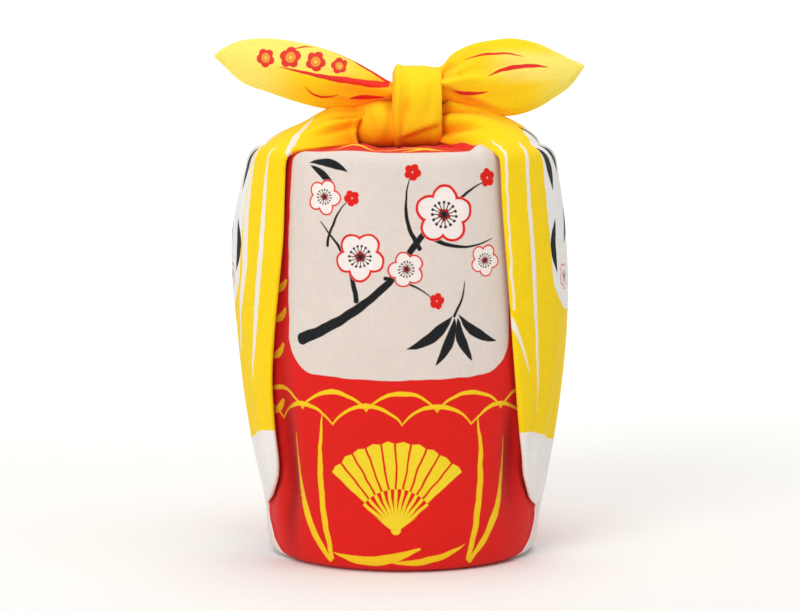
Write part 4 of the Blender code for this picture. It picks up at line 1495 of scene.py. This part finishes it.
# Lower edge of the yellow: its height at the flap's front edge, its slope, and its ripple.
LOW_EDGE, LOW_SLOPE, RIPPLE, RIPPLE_TURN = 65.5, -0.22, 0.8, 0.16
# The fine red lines at the feet: pitch, half width, the height that they reach, and their ink.
FINE_PITCH, FINE_HALF, FINE_TOP, FINE_INK = 4.4, 0.32, 27.0, 0.75


def flap_cotton():
    """Side flaps, printed plain-woven cotton: a matt, clear yellow with painted shade in its
    folds.

    It has white stripes, a white field behind, and a white lower part.
    """
    paint = Print("flap_printed_cotton", "flap_place", YELLOW)
    add = paint.add
    side = add("SeparateXYZ", [paint.given]).outputs["Z"]
    is_right = add("Math", [side, 0.0], "GREATER_THAN")
    inks = []
    is_left = add("Math", [1.0, is_right], "SUBTRACT")
    for table, away in ((LEFT_STRIPES, is_right), (RIGHT_STRIPES, is_left)):
        shift = add("Math", [away, AWAY], "MULTIPLY")
        shift = add("CombineXYZ", [shift])
        place = add("VectorMath", [paint.place, shift], "ADD").outputs[0]
        inks.append(paint.strokes(table, place))
    paint.lay_ink(paint.joined(inks), STRIPE_WHITE)

    field = inked(add, paint.round_field(*SIDE_FIELD))
    paint.lay_ink(field, WHITE)
    paint.lay_ink(paint.strokes(SIDE_LEAVES), BLACK)
    _, outline, stamens = paint.blossoms(SIDE_BLOSSOMS)
    paint.lay_ink(outline, RED)
    paint.lay_ink(stamens, BLACK)

    slope = add("Math", [paint.across, LOW_SLOPE, LOW_EDGE], "MULTIPLY_ADD")
    wave = add("Math", [paint.across, RIPPLE_TURN], "MULTIPLY")
    wave = add("Math", [wave], "SINE")
    slope = add("Math", [wave, RIPPLE, slope], "MULTIPLY_ADD")
    below = add("Math", [slope, paint.up], "SUBTRACT")
    paint.lay_ink(inked(add, below), WHITE)
    line = add("Math", [paint.across, FINE_PITCH / 2], "PINGPONG")
    line = add("Math", [FINE_HALF, line], "SUBTRACT")
    low = add("Math", [FINE_TOP, paint.up], "SUBTRACT")
    line = add("Math", [line, low], "MINIMUM")
    red_line = inked(add, line)
    red_line = add("Math", [red_line, FINE_INK], "MULTIPLY")
    paint.lay_ink(red_line, RED)
    return finish_cotton(paint, YELLOW_SHADE_TINT)


def back_cotton():
    """Back panel, printed plain-woven cotton: the matt red, with the same motifs low down."""
    return finish_cotton(red_ground("back_printed_cotton", GRASS + WATER), RED_SHADE_TINT)


# On the free ends: fine red strokes.
END_STROKES = rows_of(Stroke, [
    (-60, 242.2, -8, 233, -1.5, 0.3, 2.5, 3),
    (-35, 249.6, -7, 234.4, 1, 0.3, 1.3, 2),
    (-48, 232.4, -31, 228.4, -3, 0.3, 1.2, 0.3),
    (-26, 226.4, -9, 226.8, 0.5, 0.4, 2.2, 0.4),
    (-54, 250, -44, 251.4, 0.6, 0.2, 0.8, 0.2),
    (31.5, 245.5, 60, 246.8, 2.2, 0.3, 1.1, 0.2),
    (42, 237, 72, 241.8, 2.6, 0.3, 2.2, 0.3),
    (25.5, 230.6, 42, 230, -1.4, 0.3, 1.9, 0.3),
])
# Painted highlight where the free ends catch the light and look paler: from and to along X, where
# the tip pales all over, and the pale band's slope, middle height and half width.
PALE_PLACES = [(-10.0, -46.0, -74.0, 0.18, 256.0, 25.0), (36.0, 60.0, 86.0, 0.05, 245.0, 7.0)]
PALE_EDGE = 3.0           # half width over which the pale band fades
PALE_HIGHLIGHT_WEIGHT = 0.75
END_BLOSSOMS = rows_of(Blossom, [(-67, 246.4, 4.6, 0.4), (-55, 246.4, 5.2, 1),
                                 (-42.5, 244.6, 5, 0.2), (-31, 242.4, 4.2, 0.8)])


def knot_cotton():
    """Knot and free ends, printed plain-woven cotton: yellow, with painted orange shade where
    cloth meets cloth.

    It has a few fine red strokes and small red blossoms, and a painted highlight that pales it
    towards the tips.
    """
    paint = Print("knot_printed_cotton", "flap_place", KNOT_YELLOW)
    add = paint.add
    pale = []
    for near, far, tip, slope, middle, half in PALE_PLACES:
        along = add("MapRange", {"Value": paint.across, 1: near, 2: far}, **SOFT_STEP)
        tipped = add("MapRange", {"Value": paint.across, 1: far, 2: tip}, **SOFT_STEP)
        off = add("Math", [paint.across, slope, -middle], "MULTIPLY_ADD")
        off = add("Math", [off, paint.up], "ADD")
        off = add("Math", [off], "ABSOLUTE")
        beside = add("MapRange", {"Value": off, 1: half + PALE_EDGE, 2: half - PALE_EDGE},
                     **SOFT_STEP)
        beside = add("Math", [beside, tipped], "MAXIMUM")
        pale.append(paint.within(along, beside))
    # Painted highlight: pale yellow laid over the free ends where they catch the light.
    paint.lay_ink(add("Math", [paint.joined(pale), PALE_HIGHLIGHT_WEIGHT], "MULTIPLY"), PAINTED_HIGHLIGHT_YELLOW)
    paint.lay_ink(paint.strokes(END_STROKES), KNOT_STROKE_RED)
    petals, _, stamens = paint.blossoms(END_BLOSSOMS)
    paint.lay_ink(petals, KNOT_BLOSSOM_RED)
    paint.lay_ink(stamens, STAMEN_YELLOW)
    return finish_cotton(paint, YELLOW_SHADE_TINT)


def wrong_side_cotton():
    """Wrong side of the plain-woven cotton: unprinted, so the colours show through, paler."""
    paint = Print("wrong_side_cotton", "flap_place", UNPRINTED)
    return finish_cotton(paint, YELLOW_SHADE_TINT)


WELD = 0.002              # points of neighbouring grids that lie this close are one
SHARP_FROM = math.radians(60)     # the cloth's faces are smooth up to this angle


def add_cloth():
    """The whole sheet with its cottons, its thickness and its hem."""
    data = fold_cloth()
    piece = placed("furoshiki_cloth_sheet", data)
    brush_stroke()
    plum_blossom()
    for cotton in (panel_cotton, flap_cotton, back_cotton, knot_cotton, wrong_side_cotton):
        data.materials.append(cotton())
    mesh = bmesh.new()
    mesh.from_mesh(data)
    bmesh.ops.remove_doubles(mesh, verts=mesh.verts[:], dist=WELD * MM)
    mesh.to_mesh(data)
    mesh.free()
    thick = piece.modifiers.new("thickness", "SOLIDIFY")
    thick.thickness = CLOTH * MM
    thick.offset = 0.0
    thick.material_offset = WRONG
    thick.use_even_offset = False
    data.shade_smooth()
    fold = bpy.data.meshes.new_from_object(
        piece.evaluated_get(bpy.context.evaluated_depsgraph_get()))
    piece.modifiers.clear()
    piece.data = fold
    fold.set_sharp_from_angle(angle=SHARP_FROM)
    return piece


FLOOR_REACH = 2.6         # radius of the flat floor, in metres
FLOOR_RISE = 1.4          # radius of its upturned rim
FLOOR_MIDDLE = 0.3        # radius of its middle disc
FLOOR_RINGS = 8
RIM_RINGS = 12
FLOOR_COLUMNS = 96


def painted_board():
    """Board with matt white paint: an even pale ground without gloss."""
    made = bpy.data.materials.new("painted_board")
    made.use_nodes = True
    shader = made.node_tree.nodes["Principled BSDF"]
    shader.inputs["Base Color"].default_value = hex_colour(BOARD_WHITE)
    shader.inputs["Roughness"].default_value = 0.85
    return made


def add_floor():
    """A pale floor whose rim turns up all round, so that no edge shows behind the cloth."""
    mesh = bmesh.new()
    rows = []
    profile = [(FLOOR_MIDDLE + (FLOOR_REACH - FLOOR_MIDDLE) * k / FLOOR_RINGS, 0.0)
               for k in range(FLOOR_RINGS + 1)]
    for k in range(1, RIM_RINGS + 1):
        turn = math.pi / 2 * k / RIM_RINGS
        profile.append((FLOOR_REACH + FLOOR_RISE * math.sin(turn),
                        FLOOR_RISE * (1 - math.cos(turn))))
    for reach, height in profile:
        rows.append([mesh.verts.new((reach * math.cos(math.tau * k / FLOOR_COLUMNS),
                                     reach * math.sin(math.tau * k / FLOOR_COLUMNS), height))
                     for k in range(FLOOR_COLUMNS)])
    mesh.faces.new(rows[0])
    for low, high in zip(rows, rows[1:]):
        for k in range(FLOOR_COLUMNS):
            after = (k + 1) % FLOOR_COLUMNS
            mesh.faces.new((low[k], high[k], high[after], low[after]))
    data = bpy.data.meshes.new("pale_floor")
    mesh.to_mesh(data)
    mesh.free()
    data.shade_smooth()
    floor = placed("pale_floor", data)
    data.materials.append(painted_board())


def add_light(name, place, aim, size, power):
    data = bpy.data.lights.new(name, "AREA")
    data.energy = power
    data.size = size
    light = placed(name, data)
    light.location = place
    light.rotation_euler = (Vector(aim) - Vector(place)).to_track_quat("-Z", "Y").to_euler()


# The photograph: its width, its middle row, the row of the horizon, and the focal length, all in
# pixels; and the camera's place, in metres.
PHOTO_WIDTH = 800
MIDDLE_ROW = 305.5
HORIZON_ROW = 83
FOCAL_PIXELS = 2440
CAMERA_PLACE = (-0.001, -1.22, 0.234)
SENSOR = 36.0             # millimetres


def add_camera():
    data = bpy.data.cameras.new("camera")
    data.sensor_width = SENSOR
    data.lens = SENSOR * FOCAL_PIXELS / PHOTO_WIDTH
    camera = placed("camera", data)
    camera.location = CAMERA_PLACE
    tilt = math.atan((MIDDLE_ROW - HORIZON_ROW) / FOCAL_PIXELS)
    camera.rotation_euler = (math.pi / 2 - tilt, 0, 0)
    bpy.context.scene.camera = camera


# Name, place and aim in metres, size in metres, and watts.
LIGHTS = [("overhead", (0.3, -0.3, 3.2), (0, 0.1, 0), 3.0, 60.0),
          ("key", (-0.75, -1.4, 1.1), (0, 0, 0.14), 0.8, 11.5),
          ("backdrop_light", (0, 1.6, 2.4), (0, 4.0, 0.4), 1.5, 60.0)]
SKY = 0.36                # strength of the even white light from all round


def add_studio():
    """Plain soft light: from above, from the front left, and on the floor's far rim."""
    world = bpy.data.worlds.new("studio")
    world.use_nodes = True
    bpy.context.scene.world = world
    sky = world.node_tree.nodes["Background"]
    sky.inputs["Color"].default_value = (1, 1, 1, 1)
    sky.inputs["Strength"].default_value = SKY
    for light in LIGHTS:
        add_light(*light)
    bpy.context.scene.view_settings.view_transform = "Standard"


add_camera()
add_studio()
add_floor()
sheet = add_cloth()
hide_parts("furoshiki_cloth")
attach(sheet, "root")
